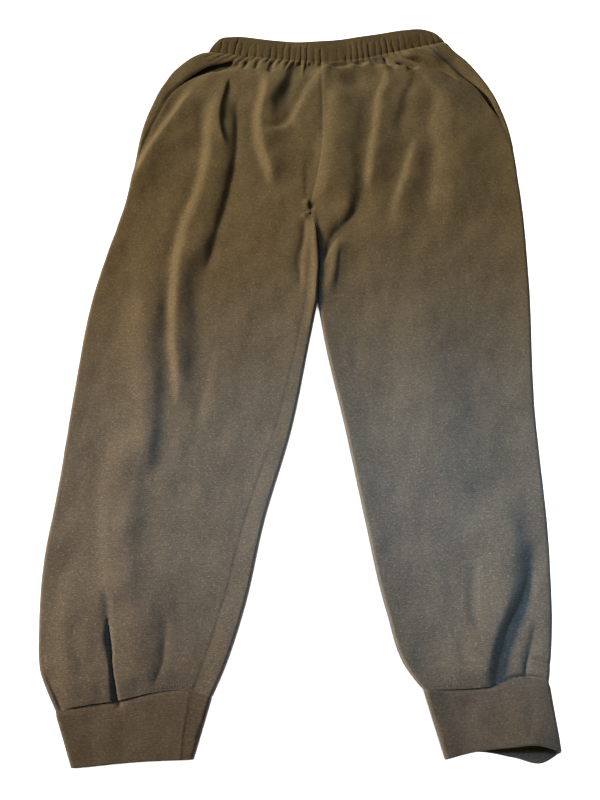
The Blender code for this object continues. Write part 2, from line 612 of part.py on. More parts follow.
def cuff_row(side, down):
    """One ring of a cuff, down being 0 at the ankle seam and 1 at the hem."""
    outer_x = mix(*CUFF_EDGES[side]["outer"], down)
    inner_x = mix(*CUFF_EDGES[side]["inner"], down)
    seam_x = (CUFF_EDGES[side]["outer"][0], CUFF_EDGES[side]["inner"][0])
    width = side * (outer_x - inner_x)
    hems = {"over": smooth(FRONT_HEM[side]), "under": smooth(BACK_HEM[side])}

    def place(across, layer):
        x = outer_x - side * across
        top = ankle_seam[side](mix(*seam_x, across / width)) - 0.5 * SEAM_GAP
        return (x, mix(top, hems[layer](x), down))

    def height(across):
        edges = math.exp(-((across / 0.018) ** 2)) + math.exp(-(((width - across) / 0.018) ** 2))
        level = CUFF_LAID_HEIGHT + (CUFF_EDGE_HEIGHT - CUFF_LAID_HEIGHT) * edges
        if side == RIGHT:
            x = place(across, "over")[0]
            level += RIGHT_MOUTH["lift"] * ease(down) * math.exp(-(((x - RIGHT_MOUTH["x"]) / RIGHT_MOUTH["width"]) ** 2))
        return level

    ring = Ring(width, place, height, 0.0045, 0.0045)
    runs = [ring.mark(share * width) for share in ANKLE_RUNS]
    row = [(mark, *ring.points("over", mark, CUFF_CLOTH)) for mark in [0, 0.5, 1, *runs, 2, 2.5, 3]]
    under = [2.5, 2, *reversed(runs), 1, 0.5]
    return row + [(6 - mark, *ring.points("under", mark, CUFF_CLOTH)) for mark in under]


for side, word in ((LEFT, "left"), (RIGHT, "right")):
    add_wall(f"cuff_{word}", [cuff_row(side, k / 5) for k in range(6)], KNIT, closed=True)


# ---- the waistband


def band_row(up):
    """One ring of the waistband, up being 0 at the waist seam and 1 at the folded top edge."""
    left_x = mix(BAND_ENDS["seam"][0], BAND_ENDS["top"][0], up)
    right_x = mix(BAND_ENDS["seam"][1], BAND_ENDS["top"][1], up)
    width = right_x - left_x
    top_edge = smooth(BAND_TOP)

    def place(across, layer):
        share = across / width
        seam_y = waist_seam(mix(*BAND_ENDS["seam"], share)) + 0.5 * SEAM_GAP
        return (left_x + across, mix(seam_y, top_edge(mix(*BAND_ENDS["top"], share)), up))

    def height(across):
        edges = math.exp(-((across / EDGE_PUFF) ** 2)) + math.exp(-(((width - across) / EDGE_PUFF) ** 2))
        bulge = 0.0010 * math.sin(math.pi * up)
        base = 0.0084 + (EDGE_HEIGHT - 0.0084) * edges + bulge
        drawn = 1.0 if up < 0.9 else 0.35
        return base + drawn * GATHER_RISE * (0.5 + gather_wave(across / width)) * ease(min(across, width - across) / 0.012)

    ring = Ring(width, place, height)
    marks = [0, 0.5, 1]
    marks += [ring.mark(share * width) for share in gather_columns() if 0.008 < share * width < width - 0.008]
    marks += [2, 2.5, 3]
    row = [(mark, *ring.points("over", mark, BAND_CLOTH)) for mark in marks]
    under = [2.5, 2, *[ring.mark(share * width) for share in reversed(WAIST_RUNS)], 1, 0.5]
    return row + [(6 - mark, *ring.points("under", mark, BAND_CLOTH)) for mark in under]


add_wall("waistband", [band_row(up) for up in (0, 0.3, 0.7, 0.92, 1)], BAND_FLEECE, closed=True)


# ---- the origin, at the middle of the footprint


def centre_footprint():
    bpy.context.view_layer.update()
    walls = [obj for obj in bpy.context.scene.objects if obj.type == "MESH"]
    corners = [vertex.co for wall in walls for vertex in wall.data.vertices]
    middle = [0.5 * (min(c[k] for c in corners) + max(c[k] for c in corners)) for k in (0, 1)]
    lowest = min(c[2] for c in corners)
    for wall in walls:
        for vertex in wall.data.vertices:
            vertex.co -= type(vertex.co)((middle[0], middle[1], lowest))
    return middle


footprint_middle = centre_footprint()
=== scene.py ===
import json
import math

import bpy
import numpy as np
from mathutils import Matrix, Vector
from mathutils.bvhtree import BVHTree

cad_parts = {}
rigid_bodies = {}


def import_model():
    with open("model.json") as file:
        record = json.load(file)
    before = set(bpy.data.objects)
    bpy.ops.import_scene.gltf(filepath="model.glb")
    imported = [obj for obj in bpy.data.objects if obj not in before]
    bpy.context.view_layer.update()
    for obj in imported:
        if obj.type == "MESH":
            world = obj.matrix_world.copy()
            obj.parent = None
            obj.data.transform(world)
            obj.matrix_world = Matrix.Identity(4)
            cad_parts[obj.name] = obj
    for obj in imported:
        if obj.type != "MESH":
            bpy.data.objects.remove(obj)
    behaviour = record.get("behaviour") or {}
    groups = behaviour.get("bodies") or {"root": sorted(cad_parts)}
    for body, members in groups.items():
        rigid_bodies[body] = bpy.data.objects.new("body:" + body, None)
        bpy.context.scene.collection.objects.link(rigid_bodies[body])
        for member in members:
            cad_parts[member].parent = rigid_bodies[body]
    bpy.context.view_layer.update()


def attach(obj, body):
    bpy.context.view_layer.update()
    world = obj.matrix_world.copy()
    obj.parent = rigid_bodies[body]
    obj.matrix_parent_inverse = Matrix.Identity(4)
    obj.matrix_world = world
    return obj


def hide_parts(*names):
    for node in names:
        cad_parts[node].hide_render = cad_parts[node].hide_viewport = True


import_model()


# ---------------------------------------------------------------- leg panels
# Two fronts and two backs cut from brushed marl fleece.  Each front is sewn to its back down the
# side seam and the inseam, and the two halves meet in the centre front and centre back seams.

# Outlines are in metres and creases in millimetres, laid out before the part's middle is moved to
# the origin.
MM = 0.001
QUARTER_TURN = 0.5 * math.pi
FOOTPRINT_MIDDLE = np.array((0.000173, 0.002163, 0.0))
LEFT, RIGHT = -1, 1
HALVES = ((LEFT, "left"), (RIGHT, "right"))

FLEECE_CLOTH = 0.0016
SEAM_GAP = 0.0001
EDGE_RADIUS = 0.0050
INNER_RADIUS = 0.0034
EDGE_HEIGHT = 0.0100
EDGE_PUFF = 0.022
LAID_HEIGHT = 0.0076
LOWEST_SKIN = 0.0066
LOWEST_CREASE = 0.0054
CROTCH_Y = 0.176
WAIST_MIDDLE_Y = 0.434

# The waist seam, x and y, and the ends of the waistband at the seam and at its top fold.
WAIST_SEAM = ((-0.142, 0.4535), (-0.080, 0.444), (-0.008, 0.436), (0.021, 0.434), (0.072, 0.4385),
              (0.140, 0.456), (0.205, 0.474))
BAND_ENDS = {"seam": (-0.142, 0.205), "top": (-0.136, 0.199)}

# Side edges, the line between the legs and the inner edges: y, x.
OUTER_EDGE = {
    LEFT: ((0.4535, -0.142), (0.439, -0.166), (0.419, -0.187), (0.390, -0.203), (0.335, -0.221),
           (0.205, -0.236), (0.021, -0.269), (-0.082, -0.275), (-0.212, -0.280), (-0.296, -0.285),
           (-0.359, -0.281), (-0.404, -0.274), (-0.443, -0.254)),
    RIGHT: ((0.474, 0.205), (0.454, 0.217), (0.439, 0.231), (0.419, 0.244), (0.390, 0.259),
            (0.335, 0.276), (0.205, 0.285), (0.064, 0.281), (-0.101, 0.268), (-0.296, 0.262),
            (-0.374, 0.254), (-0.415, 0.246)),
}
MIDDLE_LINE = ((0.434, 0.021), (0.327, 0.023), (0.272, 0.0205), (0.229, 0.0145), (0.191, 0.007),
               (0.176, 0.005), (0.152, 0.0115), (0.116, 0.0155), (0.091, 0.0165), (0.056, 0.015),
               (0.033, 0.014))
PARTING_Y = MIDDLE_LINE[-1][0]
INNER_EDGE = {
    LEFT: (MIDDLE_LINE[-1], (-0.021, 0.004), (-0.139, -0.018), (-0.246, -0.047), (-0.343, -0.067),
           (-0.404, -0.086), (-0.430, -0.097)),
    RIGHT: (MIDDLE_LINE[-1], (-0.021, 0.022), (-0.139, 0.045), (-0.246, 0.064), (-0.343, 0.083),
            (-0.404, 0.103), (-0.422, 0.117)),
}

# How far in the side seam and the inseam lie from their edges, and how wide the pocket mouths
# hang open: y, distance.
SIDE_SEAM = {
    LEFT: ((0.4535, 0.058), (0.440, 0.0515), (0.427, 0.042), (0.412, 0.0335), (0.394, 0.025),
           (0.373, 0.018), (0.338, 0.0155), (0.308, 0.012), (0.270, 0.006), (0.235, 0.0)),
    RIGHT: ((0.474, 0.056), (0.444, 0.040), (0.415, 0.024), (0.380, 0.014), (0.338, 0.010),
            (0.300, 0.006), (0.265, 0.0)),
}
INSEAM = {
    LEFT: ((0.166, 0.0), (0.145, 0.005), (0.100, 0.011), (-0.050, 0.014), (-0.246, 0.021),
           (-0.404, 0.021), (-0.430, 0.018)),
    RIGHT: ((CROTCH_Y, 0.0), (-0.422, 0.0)),
}
POCKET_MOUTH = {
    LEFT: ((0.4445, 0.0), (0.4425, 0.0045), (0.4385, 0.0140), (0.432, 0.0220), (0.425, 0.0205),
           (0.415, 0.0110), (0.403, 0.0048), (0.387, 0.0016), (0.370, 0.0008), (0.340, 0.0)),
    RIGHT: ((0.452, 0.0), (0.440, 0.0016), (0.420, 0.0026), (0.402, 0.0036), (0.385, 0.0042),
            (0.370, 0.0060), (0.354, 0.0066), (0.338, 0.0040), (0.322, 0.0)),
}
ANKLE_SEAM = {
    LEFT: ((-0.254, -0.443), (-0.223, -0.437), (-0.193, -0.433), (-0.150, -0.424), (-0.123, -0.423),
           (-0.097, -0.430)),
    RIGHT: ((0.117, -0.422), (0.143, -0.4220), (0.163, -0.4212), (0.188, -0.4185), (0.209, -0.4120),
            (0.229, -0.4105), (0.246, -0.415)),
}

# The gathers that the waist elastic draws up: where each trough lies along the seam, as a share of
# its length from the left, and how deep it is.
TROUGHS = ((0.020, 0.5), (0.050, 0.6), (0.082, 0.7), (0.112, 1.0), (0.139, 0.8), (0.167, 0.9),
           (0.203, 0.8), (0.233, 0.6), (0.262, 1.0), (0.289, 0.9), (0.315, 0.8), (0.345, 0.8),
           (0.368, 0.5), (0.391, 0.9), (0.415, 0.8), (0.447, 0.9), (0.474, 1.0), (0.505, 0.4),
           (0.545, 0.4), (0.580, 1.0), (0.604, 0.8), (0.630, 0.9), (0.654, 0.9), (0.678, 1.0),
           (0.705, 0.5), (0.730, 0.9), (0.755, 0.9), (0.781, 1.0), (0.806, 0.9), (0.835, 0.5),
           (0.865, 0.9), (0.897, 0.8), (0.928, 0.8), (0.956, 0.9), (0.980, 0.6))
END_TROUGH = 0.4
WAIST_SEAM_HEIGHT = 0.0092
GROOVE_DEPTH, GROOVE_SHARPNESS, GROOVE_LIFT = 0.0018, 0.44, 0.24
PUCKER_DEPTH, PUCKER_SHARPNESS, PUCKER_LIFT = 0.0020, 0.65, 0.55
PUCKER_BANDS = ((0.067, 0.042, -0.9), (-0.020, 0.045, 0.9))  # middle in x, half width, gain
PUCKER_LENGTHS = (0.010, 0.026, 0.014, 0.034, 0.012, 0.020, 0.038, 0.009, 0.017)

# Broad folds: section, height (hollows are negative), width to the left and right of the line, and
# the line, x and y, from the waist down.  A third number on a point scales the widths there.
FOLDS = {
    "hip roll, left": ("round", 5, 8, 34, ((-152, 390), (-159, 375), (-168, 355), (-180, 330), (-193, 305),
        (-207, 275), (-218, 245), (-228, 215), (-234, 180))),
    "pocket channel": ("round", -3, 10, 10, ((-98, 440), (-134, 422), (-163, 398), (-184, 362),
        (-194, 320))),
    "thigh fold": ("rolled", 5.6, 21, 22, ((-113, 385), (-119, 340), (-117.5, 300), (-119, 250),
        (-125.5, 200), (-136, 150), (-145, 105), (-152, 60))),
    "knee fold": ("round", 4.2, 7.5, 17, ((-159, 120), (-159, 80), (-159, 40), (-158, 0), (-157, -30),
        (-153, -55), (-151, -75), (-148, -100))),
    "waist bulge": ("round", 6.2, 9, 30, ((-52, 430), (-53, 405), (-54, 380), (-59, 350), (-61, 325),
        (-59, 300), (-54, 270), (-46, 240), (-39, 205))),
    "front swell": ("round", 4, 36, 44, ((30, 435), (30, 400), (29, 360), (28, 320), (32, 270), (36, 220),
        (34, 180))),
    "swag": ("flat", -3.6, 20, 20, ((-2, 455, 1), (-3, 420, 1), (-7, 400, 1), (-15, 380, 0.97),
        (-26, 360, 0.9), (-30, 340, 0.74), (-37, 318, 0.52))),
    "thigh roll, right": ("round", 3.4, 7, 10, ((44, 135), (39, 105), (34, 70), (27, 38))),
    "front ridge, right": ("round", 3.8, 9, 20, ((121, 435), (120, 410), (118, 388), (110, 365), (106, 330),
        (101, 300), (95, 263), (90, 227), (88, 190))),
    "hip ridge, right": ("round", 3, 8, 24, ((159, 310), (151, 278), (143, 248), (136, 220), (128, 197),
        (123, 173), (122, 140))),
    "hip bulge, right": ("round", 4.8, 20, 60, ((208, 410), (205, 320), (200, 240), (190, 150))),
    "pocket crease, right": ("round", -3, 12, 9, ((180, 445), (221, 413), (246, 378), (262, 336))),
    "knee roll": ("round", 3.6, 17, 19, ((-203, 70), (-199, 30), (-198, -20), (-195, -60), (-190, -90),
        (-187, -120), (-185, -160), (-190, -200))),
    "shin ridge": ("round", 3, 19, 22, ((-203, -120), (-205, -180), (-204, -230), (-202, -280),
        (-199, -320), (-193, -360))),
    "ankle bulge, left": ("round", 3, 22, 20, ((-260, -290), (-254, -340), (-246, -385), (-234, -460))),
    "ankle hollow, left": ("round", -1.2, 8, 10, ((-246, -345), (-242, -375), (-233, -395), (-227, -420))),
    "ankle slit": ("round", -1.5, 5, 4, ((-214, -315), (-211, -335), (-208, -352), (-206, -368),
        (-203, -387), (-201, -400))),
    "ankle bulge, mid": ("round", 1.8, 18, 18, ((-179, -330), (-174, -385), (-172, -430))),
    "ankle groove, left": ("round", -1, 6.5, 5.6, ((-149, -335), (-148, -360), (-148, -380), (-149, -398),
        (-153, -412), (-158, -434))),
    "ankle bulge, inner": ("round", 0.8, 14, 14, ((-128, -320), (-126, -370), (-130, -432))),
    "inner roll": ("round", 4.2, 6.2, 3.8, ((8, 180), (10.5, 150), (12.5, 120), (13.5, 90), (12.5, 50),
        (9, 20), (-1, -20))),
    "knee swell, right": ("round", 4, 40, 40, ((150, 60), (150, -100), (158, -230))),
    "ankle bulge, right": ("round", 6, 30, 16, ((226, -210), (218, -290), (209, -330), (193, -365),
        (179, -400), (176, -460))),
    "ankle wedge": ("round", -3.2, 4, 10, ((242, -280, 0.6), (236, -310, 0.7), (226, -338, 0.9),
        (212, -366, 1), (202, -392, 1), (197, -412, 1), (195, -435, 1))),
    "yoke swell, left": ("round", 2.8, 34, 34, ((-136, 490), (-146, 430), (-156, 370), (-170, 310))),
    "yoke swell, right": ("round", 6.6, 40, 40, ((155, 520), (160, 460), (166, 400), (175, 330))),
    "ankle swell, left": ("flat", 4.6, 52, 58, ((-202, -280), (-200, -340), (-198, -400), (-194, -500))),
    "shin dent, upper": ("round", -2, 6.5, 6.5, ((181, -280), (178, -307), (174, -342), (178, -374))),
    "shin dent, lower": ("round", -1.6, 8, 8, ((163, -360), (160, -390), (165, -414))),
}

# Creases: sharp lines, pointed in section: height, width to the left and right, and the line.
CREASES = {
    "waist tuck, left": (-5.4, 3.2, 2.4, ((-4, 439), (-9, 424), (-12, 404))),
    "waist tuck, centre": (-5.4, 3.2, 2.4, ((10, 438), (5, 422), (1, 406))),
    "waist tuck, side": (-5, 3.4, 2.6, ((-47, 442), (-49, 426), (-52, 410))),
    "waist tuck, outer": (-3, 2.6, 2.4, ((-68, 444), (-70, 430), (-74, 418))),
    "waist tuck, far": (-3, 2.6, 2.4, ((-82, 445), (-86, 430), (-92, 418))),
    "yoke tuck, left": (-5, 2.8, 3, ((-90, 433), (-100, 427), (-112, 423), (-125, 418), (-136, 413))),
    "yoke tuck, right": (-7, 2.6, 2.6, ((128, 431), (137, 428.5), (147, 425), (156, 421), (164, 417))),
    "yoke tuck, upper": (-7, 3, 3, ((138, 439), (150, 437.5), (162, 434.5), (174, 429.5), (186, 423.5),
        (198, 415), (212, 403, 0.8), (222, 393, 0.6))),
    "yoke ridge": (5, 4.6, 5, ((138, 447), (160, 450), (182, 440), (205, 423), (226, 402))),
    "yoke knob": (4, 4, 3.6, ((126, 420), (138, 418), (150, 415))),
    "waist dots": (-3.4, 2, 2, ((115, 444), (117, 432), (120, 424))),
    "inner groove, left": (-3.2, 5.5, 3.6, ((-1, 172), (-2, 145), (-3, 125), (-8.5, 95), (-7.5, 70),
        (-9, 40))),
    "rise slit": (-5, 5, 3.6, ((66, 185, 1.2), (62, 164, 1.2), (52, 147, 1.1), (42, 136, 1), (33, 122, 0.8),
        (26, 104, 0.6), (21, 84, 0.5))),
    "thigh streak, right": (-1.2, 3.4, 3.4, ((46, 120), (43, 100), (40, 70), (36, 45))),
    "ankle slit": (-8.4, 1.6, 1.2, ((-210, -344, 0.35), (-208, -356, 0.5), (-206, -370, 0.9),
        (-202, -387, 0.75), (-200, -400, 0.5), (-197, -413, 0.7), (-193, -432, 1.1), (-189, -460, 1.1))),
    "ankle groove": (-0.5, 2.2, 2, ((-147, -355), (-148, -377), (-148, -396), (-153, -410), (-158, -426))),
    "wedge slit": (-2.6, 2, 5, ((226, -330, 0.6), (220, -344, 0.8), (208, -366, 1), (198, -392, 1),
        (192, -413, 1.1), (190, -440, 1.1))),
    "ankle notch": (-2.6, 3, 4.6, ((239, -345, 1.7), (236, -365, 1.7), (229, -385, 1.2), (223, -402, 0.6),
        (221, -425, 0.5))),
    "ankle nick, right": (-2.6, 2, 2, ((229, -392), (237, -394), (245, -397), (253, -400))),
    "ankle nick, outer": (-3.4, 3, 7, ((-269, -402), (-264, -412), (-258, -422), (-252, -432), (-247, -444),
        (-244, -456))),
    "ankle line, right": (-2.6, 1.4, 1.4, ((194, -417.5), (202, -413), (212, -410), (224, -409),
        (236, -410.5), (252, -415))),
}

# Flanks: slopes between two levels of the cloth.  Rise from left to right, width of the slope, how
# far each level holds to the left and to the right, and the line.
FLANKS = {
    "hip roll": (3.8, 5.2, 10, 20, ((-159, 380), (-172, 365), (-185, 340), (-200, 310), (-215, 280),
        (-225, 250), (-235, 220), (-242, 190))),
    "thigh fold, outer": (4.2, 5.8, 14, 20, ((-125, 380), (-128, 355), (-132, 330), (-136, 300),
        (-137, 250), (-144, 205), (-154, 175), (-162, 145), (-167, 100), (-169, 50), (-167, 0))),
    "yoke slit": (-3.4, 1.8, 12, 12, ((-108, 410), (-111, 390), (-115, 360), (-117, 330), (-116, 310),
        (-111, 290), (-106, 274))),
    "thigh fold, inner": (-1.2, 2.6, 14, 12, ((-96, 345), (-97.5, 320), (-98, 300), (-96.5, 270),
        (-100, 250), (-103, 225), (-106, 200), (-110, 175), (-115, 150), (-119, 125), (-124, 100),
        (-128, 75))),
    "knee fold, outer": (3, 3.6, 12, 12, ((-169, 80), (-168, 30), (-166, -6), (-165, -27), (-160, -53),
        (-158, -70), (-156, -86), (-152, -115))),
    "knee fold, inner": (-0.7, 7, 12, 18, ((-146, 90), (-144, 50), (-143, 0), (-143, -50), (-137, -85),
        (-130, -110), (-128, -135), (-128, -160))),
    "waist bulge": (4, 5, 14, 20, ((-59, 410), (-60, 380), (-66, 350), (-69, 325), (-68, 300), (-64, 275),
        (-57, 250), (-50, 225), (-46, 205))),
    "swag hollow": (-3.6, 4.6, 14, 10, ((-19, 437, 1.1), (-21, 420, 1.3), (-25, 400, 1.7), (-31, 380, 2.1),
        (-37, 360, 2.6), (-40, 345, 3.4))),
    "swag": (3.6, 4.4, 12, 22, ((34, 432), (19, 412), (5, 394), (-7, 362), (-15, 340), (-23, 319),
        (-33, 310), (-49, 305), (-66, 302))),
    "front ridge": (8, 10.5, 18, 34, ((35, 390), (33, 340), (28, 300), (22, 260), (18, 225), (13, 200),
        (9, 180))),
    "front edge": (-0.9, 3, 8, 6, ((0, 265), (-2, 240), (-2, 215), (-2, 190), (-3, 175))),
    "rise": (-6.6, 8, 26, 22, ((67, 230, 2.6), (66, 210, 1.7), (64, 190, 1.1), (61, 170, 1), (54, 154, 1.5),
        (46, 145, 2), (36, 136, 1.6), (26, 124, 1))),
    "balloon rim": (-8.2, 4.4, 24, 9, ((2, 414), (16, 420), (30, 424), (50, 423), (70, 426), (95, 429),
        (114, 425), (134, 414))),
    "front ridge, right": (2.8, 3.2, 14, 16, ((114, 435), (113, 415), (110, 393), (101, 370), (97, 335),
        (92, 300), (86, 263), (83, 230), (81, 200))),
    "groove, right": (-2.6, 5, 14, 14, ((156, 430), (153, 412), (149, 390), (141, 373), (135, 356, 1.2),
        (131, 338, 1.5), (126, 316, 2), (122, 294, 3))),
    "hip ridge, right": (2.6, 3.6, 14, 20, ((150, 295), (144, 275), (135, 245), (128, 220), (120, 197),
        (115, 175), (114, 150))),
    "hip plateau, right": (2.8, 6, 22, 50, ((166, 415), (174, 390), (186, 360), (178, 330), (179, 270),
        (173, 220), (164, 160))),
    "knee light, left": (1.4, 5, 14, 18, ((-109, -15), (-111, -40), (-115, -75), (-120, -100), (-122, -125),
        (-124, -155))),
    "knee roll, inner": (-2.4, 4.4, 18, 14, ((-184, 30, 2.8), (-182, 0, 2.6), (-180, -40, 2.5),
        (-175, -75, 1.7), (-174, -120, 1.5), (-173, -150, 1.4), (-173, -170, 1.6), (-178, -205, 2.6))),
    "shin band, outer": (1, 5, 16, 18, ((-223, -145), (-228, -190), (-230, -220), (-227, -250),
        (-223, -280), (-217, -315))),
    "shin band, inner": (-1, 6, 18, 20, ((-189, -170), (-186, -230), (-183, -280), (-178, -330))),
    "wedge": (-4.6, 3, 16, 14, ((242, -255, 3), (236, -295, 2.8), (227, -322, 2), (215, -342, 1.4),
        (203, -362, 1.1), (195, -378, 1), (190, -396, 0.9), (187, -430, 0.8))),
    "wedge foot": (0.6, 4, 10, 14, ((228, -330), (220, -350), (210, -375), (203, -400), (200, -420))),
    "knee light, right": (1.2, 8, 22, 26, ((80, 80), (77, 20), (66, -30), (60, -80))),
    "rise, upper": (-1.8, 8, 20, 20, ((77, 360), (73, 310), (68, 260), (65, 200))),
    "knee shade, left": (-1, 9, 16, 18, ((-140, 30), (-138, -20), (-136, -70), (-132, -110), (-130, -150))),
    "yoke step, upper": (6.6, 2, 8, 11, ((138, 439), (150, 437.5), (162, 434.5), (174, 429.5), (186, 423.5),
        (198, 416))),
    "yoke step, lower": (6, 1.8, 6, 6, ((128, 431), (137, 428.5), (147, 425), (156, 421), (164, 417))),
}

# Dents and knots: height, radius, x and y.
DENTS = {
    "crotch hole": (-3.4, 3.4, 7.2, 176.2),
    "crotch knot": (2.2, 3.6, -1.6, 162),
    "crotch lip": (2.6, 4.6, 1.5, 183.5),
    "rim knob, seam": (3.4, 7.2, 30, 424.5),
    "rim knob, middle": (3.4, 6, 68, 427),
    "rim knob, right": (3.4, 6, 91, 429.5),
    "rim knob, end": (3, 7, 112, 420),
    "rim dip, left": (-1.4, 4, 45, 424),
    "rim dip, right": (-1.4, 4, 79, 429.5),
    "pad hollow": (-4.2, 16.5, 70, 401),
}

# The cloth's own slight unevenness: waves of every direction, their lengths and slopes.
RIPPLE_COUNT, RIPPLE_LENGTHS, RIPPLE_SLOPE, RIPPLE_SEED = 26, (0.012, 0.055), 0.012, 11
FULL_TURN = 6.283
wave_draw = np.random.default_rng(RIPPLE_SEED)
ripple_draws = [wave_draw.uniform(*ends, RIPPLE_COUNT)
                for ends in (RIPPLE_LENGTHS, (0, FULL_TURN), (0, FULL_TURN))]
RIPPLES = [
    (RIPPLE_SLOPE * length / FULL_TURN, FULL_TURN / length * math.cos(turn),
     FULL_TURN / length * math.sin(turn), start)
    for length, turn, start in zip(*ripple_draws)
]

# Where the cloth calms down near the waist and ankle seams, as shares of the leg's length, how
# much at each ankle, and what is left there of the folds.
WAIST_CALM, ANKLE_CALM, CALM_AT_ANKLE, CALM_SHARE = 0.018, 0.024, {LEFT: 1.2, RIGHT: 1.5}, 0.55
# How far from each end the cloth's rows bow to follow the seam, as shares of the leg's length.
WAIST_BOW, ANKLE_BOW = 0.11, 0.10
# How far below the crotch the inner edges have fully parted, and the inseam has closed.
PARTING_RUN, CROTCH_RUN = 0.150, 0.010
# How far below the waist seam the skin still meets the waistband's own height.
SEAM_RUN = 0.008
# How softly the deepest creases are rounded off, in metres.
CREASE_EASING = 0.0006

# How far a fold, crease or flank reaches, in its own widths, and how far its ends fade.
BROAD_REACH, SHARP_REACH, STEPS_PER_POINT = 2.7, 6.0, 6
FOLD_FADE, FLANK_FADE, LONGEST_FADE = 0.050, 0.028, 0.30
SHARP_ROUNDING, SHARP_OFFSET, ROLLED_FALL = 0.08, 0.28, 1.10


def smooth(rows):
    """A smooth curve through rows of (position, value), held level past both ends."""
    at, value = np.array(sorted(rows), dtype=float).T
    gaps, steps = np.diff(at), np.diff(value) / np.diff(at)
    inner = (gaps[1:] * steps[:-1] + gaps[:-1] * steps[1:]) / (gaps[:-1] + gaps[1:])
    slopes = np.concatenate((steps[:1], inner, steps[-1:]))

    def curve(place):
        place = np.clip(place, at[0], at[-1])
        k = np.clip(np.searchsorted(at, place, side="right") - 1, 0, len(gaps) - 1)
        t = (place - at[k]) / gaps[k]
        rise = gaps[k] * (t * (1 - t) ** 2 * slopes[k] - t * t * (1 - t) * slopes[k + 1])
        return value[k] + t * t * (3 - 2 * t) * (value[k + 1] - value[k]) + rise

    return curve


def ease(t):
    """0 below 0, 1 above 1, and a smooth rise between."""
    t = np.clip(t, 0.0, 1.0)
    return t * t * (3 - 2 * t)


def mix(a, b, t):
    return a + (b - a) * t


def above(height, floor, rounding=0.0012):
    """height, but rounded off so that it never drops below floor."""
    spare = height - floor
    return floor + 0.5 * (spare + np.sqrt(spare * spare + rounding * rounding))


def ripples(x, y):
    """Height of the cloth's slight unevenness."""
    return sum(size * np.sin(across_waves * x + down_waves * y + start)
               for size, across_waves, down_waves, start in RIPPLES)


def close_at_ends(count):
    """Shares from 0 to 1, closest together at both ends, where the seams are."""
    even = np.linspace(0.0, 1.0, count)
    return even - 0.30 * np.sin(2 * math.pi * even) / (2 * math.pi)


def run_along(line):
    """Distance along a line of points at each of them."""
    return np.concatenate(([0.0], np.cumsum(np.hypot(*np.diff(line[:, :2], axis=0).T))))


def near_line(x, y, line, reach, fade):
    """Where a smooth line's neighbourhood is, and there its distance, side, ends and width scale."""
    line = np.array([(*point, 1.0)[:3] for point in line]) * (MM, MM, 1.0)
    marks = run_along(line)
    steps = np.linspace(0.0, marks[-1], STEPS_PER_POINT * len(line))
    line = np.column_stack([smooth(zip(marks, line[:, k]))(steps) for k in (0, 1, 2)])
    low, high = line[:, :2].min(axis=0) - reach, line[:, :2].max(axis=0) + reach
    near = (x > low[0]) & (x < high[0]) & (y > low[1]) & (y < high[1])
    px, py = x[near], y[near]
    nearest, along = np.full(px.shape, 1e9), np.zeros(px.shape)
    side, scale, run = np.zeros(px.shape), np.ones(px.shape), 0.0
    for (ax, ay, start), (dx, dy, grown) in zip(line, np.diff(line, axis=0)):
        length = math.hypot(dx, dy)
        t = np.clip(((px - ax) * dx + (py - ay) * dy) / length**2, 0.0, 1.0)
        distance = np.hypot(px - ax - t * dx, py - ay - t * dy)
        closer = distance < nearest
        nearest = np.where(closer, distance, nearest)
        along = np.where(closer, run + t * length, along)
        side = np.where(closer, np.sign(dx * (py - ay) - dy * (px - ax)), side)
        scale = np.where(closer, start + t * grown, scale)
        run += length
    fade = min(fade, LONGEST_FADE * run)
    return near, nearest, side, ease(along / fade) * ease((run - along) / fade), scale


def fold_height(x, y, fold):
    """Height that one fold adds: tallest on its line, fading sideways and at both ends."""
    section, *sizes, line = fold
    height, left_width, right_width = MM * np.array(sizes)
    reach = (SHARP_REACH if section == "sharp" else BROAD_REACH) * max(left_width, right_width)
    near, distance, side, ends, scale = near_line(x, y, line, reach, FOLD_FADE)
    share = distance / (scale * np.where(side < 0, left_width, right_width))
    if section == "sharp":
        shape = np.exp(-(np.sqrt(share**2 + SHARP_ROUNDING) - SHARP_OFFSET))
    elif section == "rolled":
        fall = np.clip(1.0 - share**2, 0.0, 1.0) ** ROLLED_FALL
        shape = np.where(side < 0, np.exp(-(share**4)), fall)
    else:
        shape = np.exp(-(share ** (2 if section == "round" else 4)))
    rise = np.zeros(x.shape)
    rise[near] = height * ends * shape
    return rise


def flank_height(x, y, flank):
    """Height that one flank adds: down on the left of its line and up on its right, fading away."""
    *sizes, line = flank
    height, width, left_reach, right_reach = MM * np.array(sizes)
    reach = BROAD_REACH * max(left_reach, right_reach)
    near, distance, side, ends, scale = near_line(x, y, line, reach, FLANK_FADE)
    held = np.exp(-((distance / np.where(side < 0, left_reach, right_reach)) ** 2))
    rise = np.zeros(x.shape)
    rise[near] = 0.5 * height * ends * held * np.tanh(side * distance / (scale * width))
    return rise


GATHER_LINES = np.array([0.0] + [place for place, _ in TROUGHS] + [1.0])
TROUGH_DEPTHS = np.array([END_TROUGH] + [depth for _, depth in TROUGHS] + [END_TROUGH])


def gather_wave(share, sharpness):
    """-1 in the deepest troughs and 0 on the crests, at a share of the waist seam's length."""
    share = np.clip(share, 0.0, 1.0)
    k = np.clip(np.searchsorted(GATHER_LINES, share, side="right") - 1, 0, len(GATHER_LINES) - 2)
    t = (share - GATHER_LINES[k]) / (GATHER_LINES[k + 1] - GATHER_LINES[k])
    hump = np.clip(np.sin(math.pi * t), 0.0, 1.0) ** sharpness
    return (hump - 1.0) * mix(TROUGH_DEPTHS[k], TROUGH_DEPTHS[k + 1], t)


def pucker_length(share):
    """How far down the leg the gathers run at a share of the waist seam's length."""
    lengths = np.resize(PUCKER_LENGTHS, len(GATHER_LINES))
    return np.interp(share, GATHER_LINES, lengths)


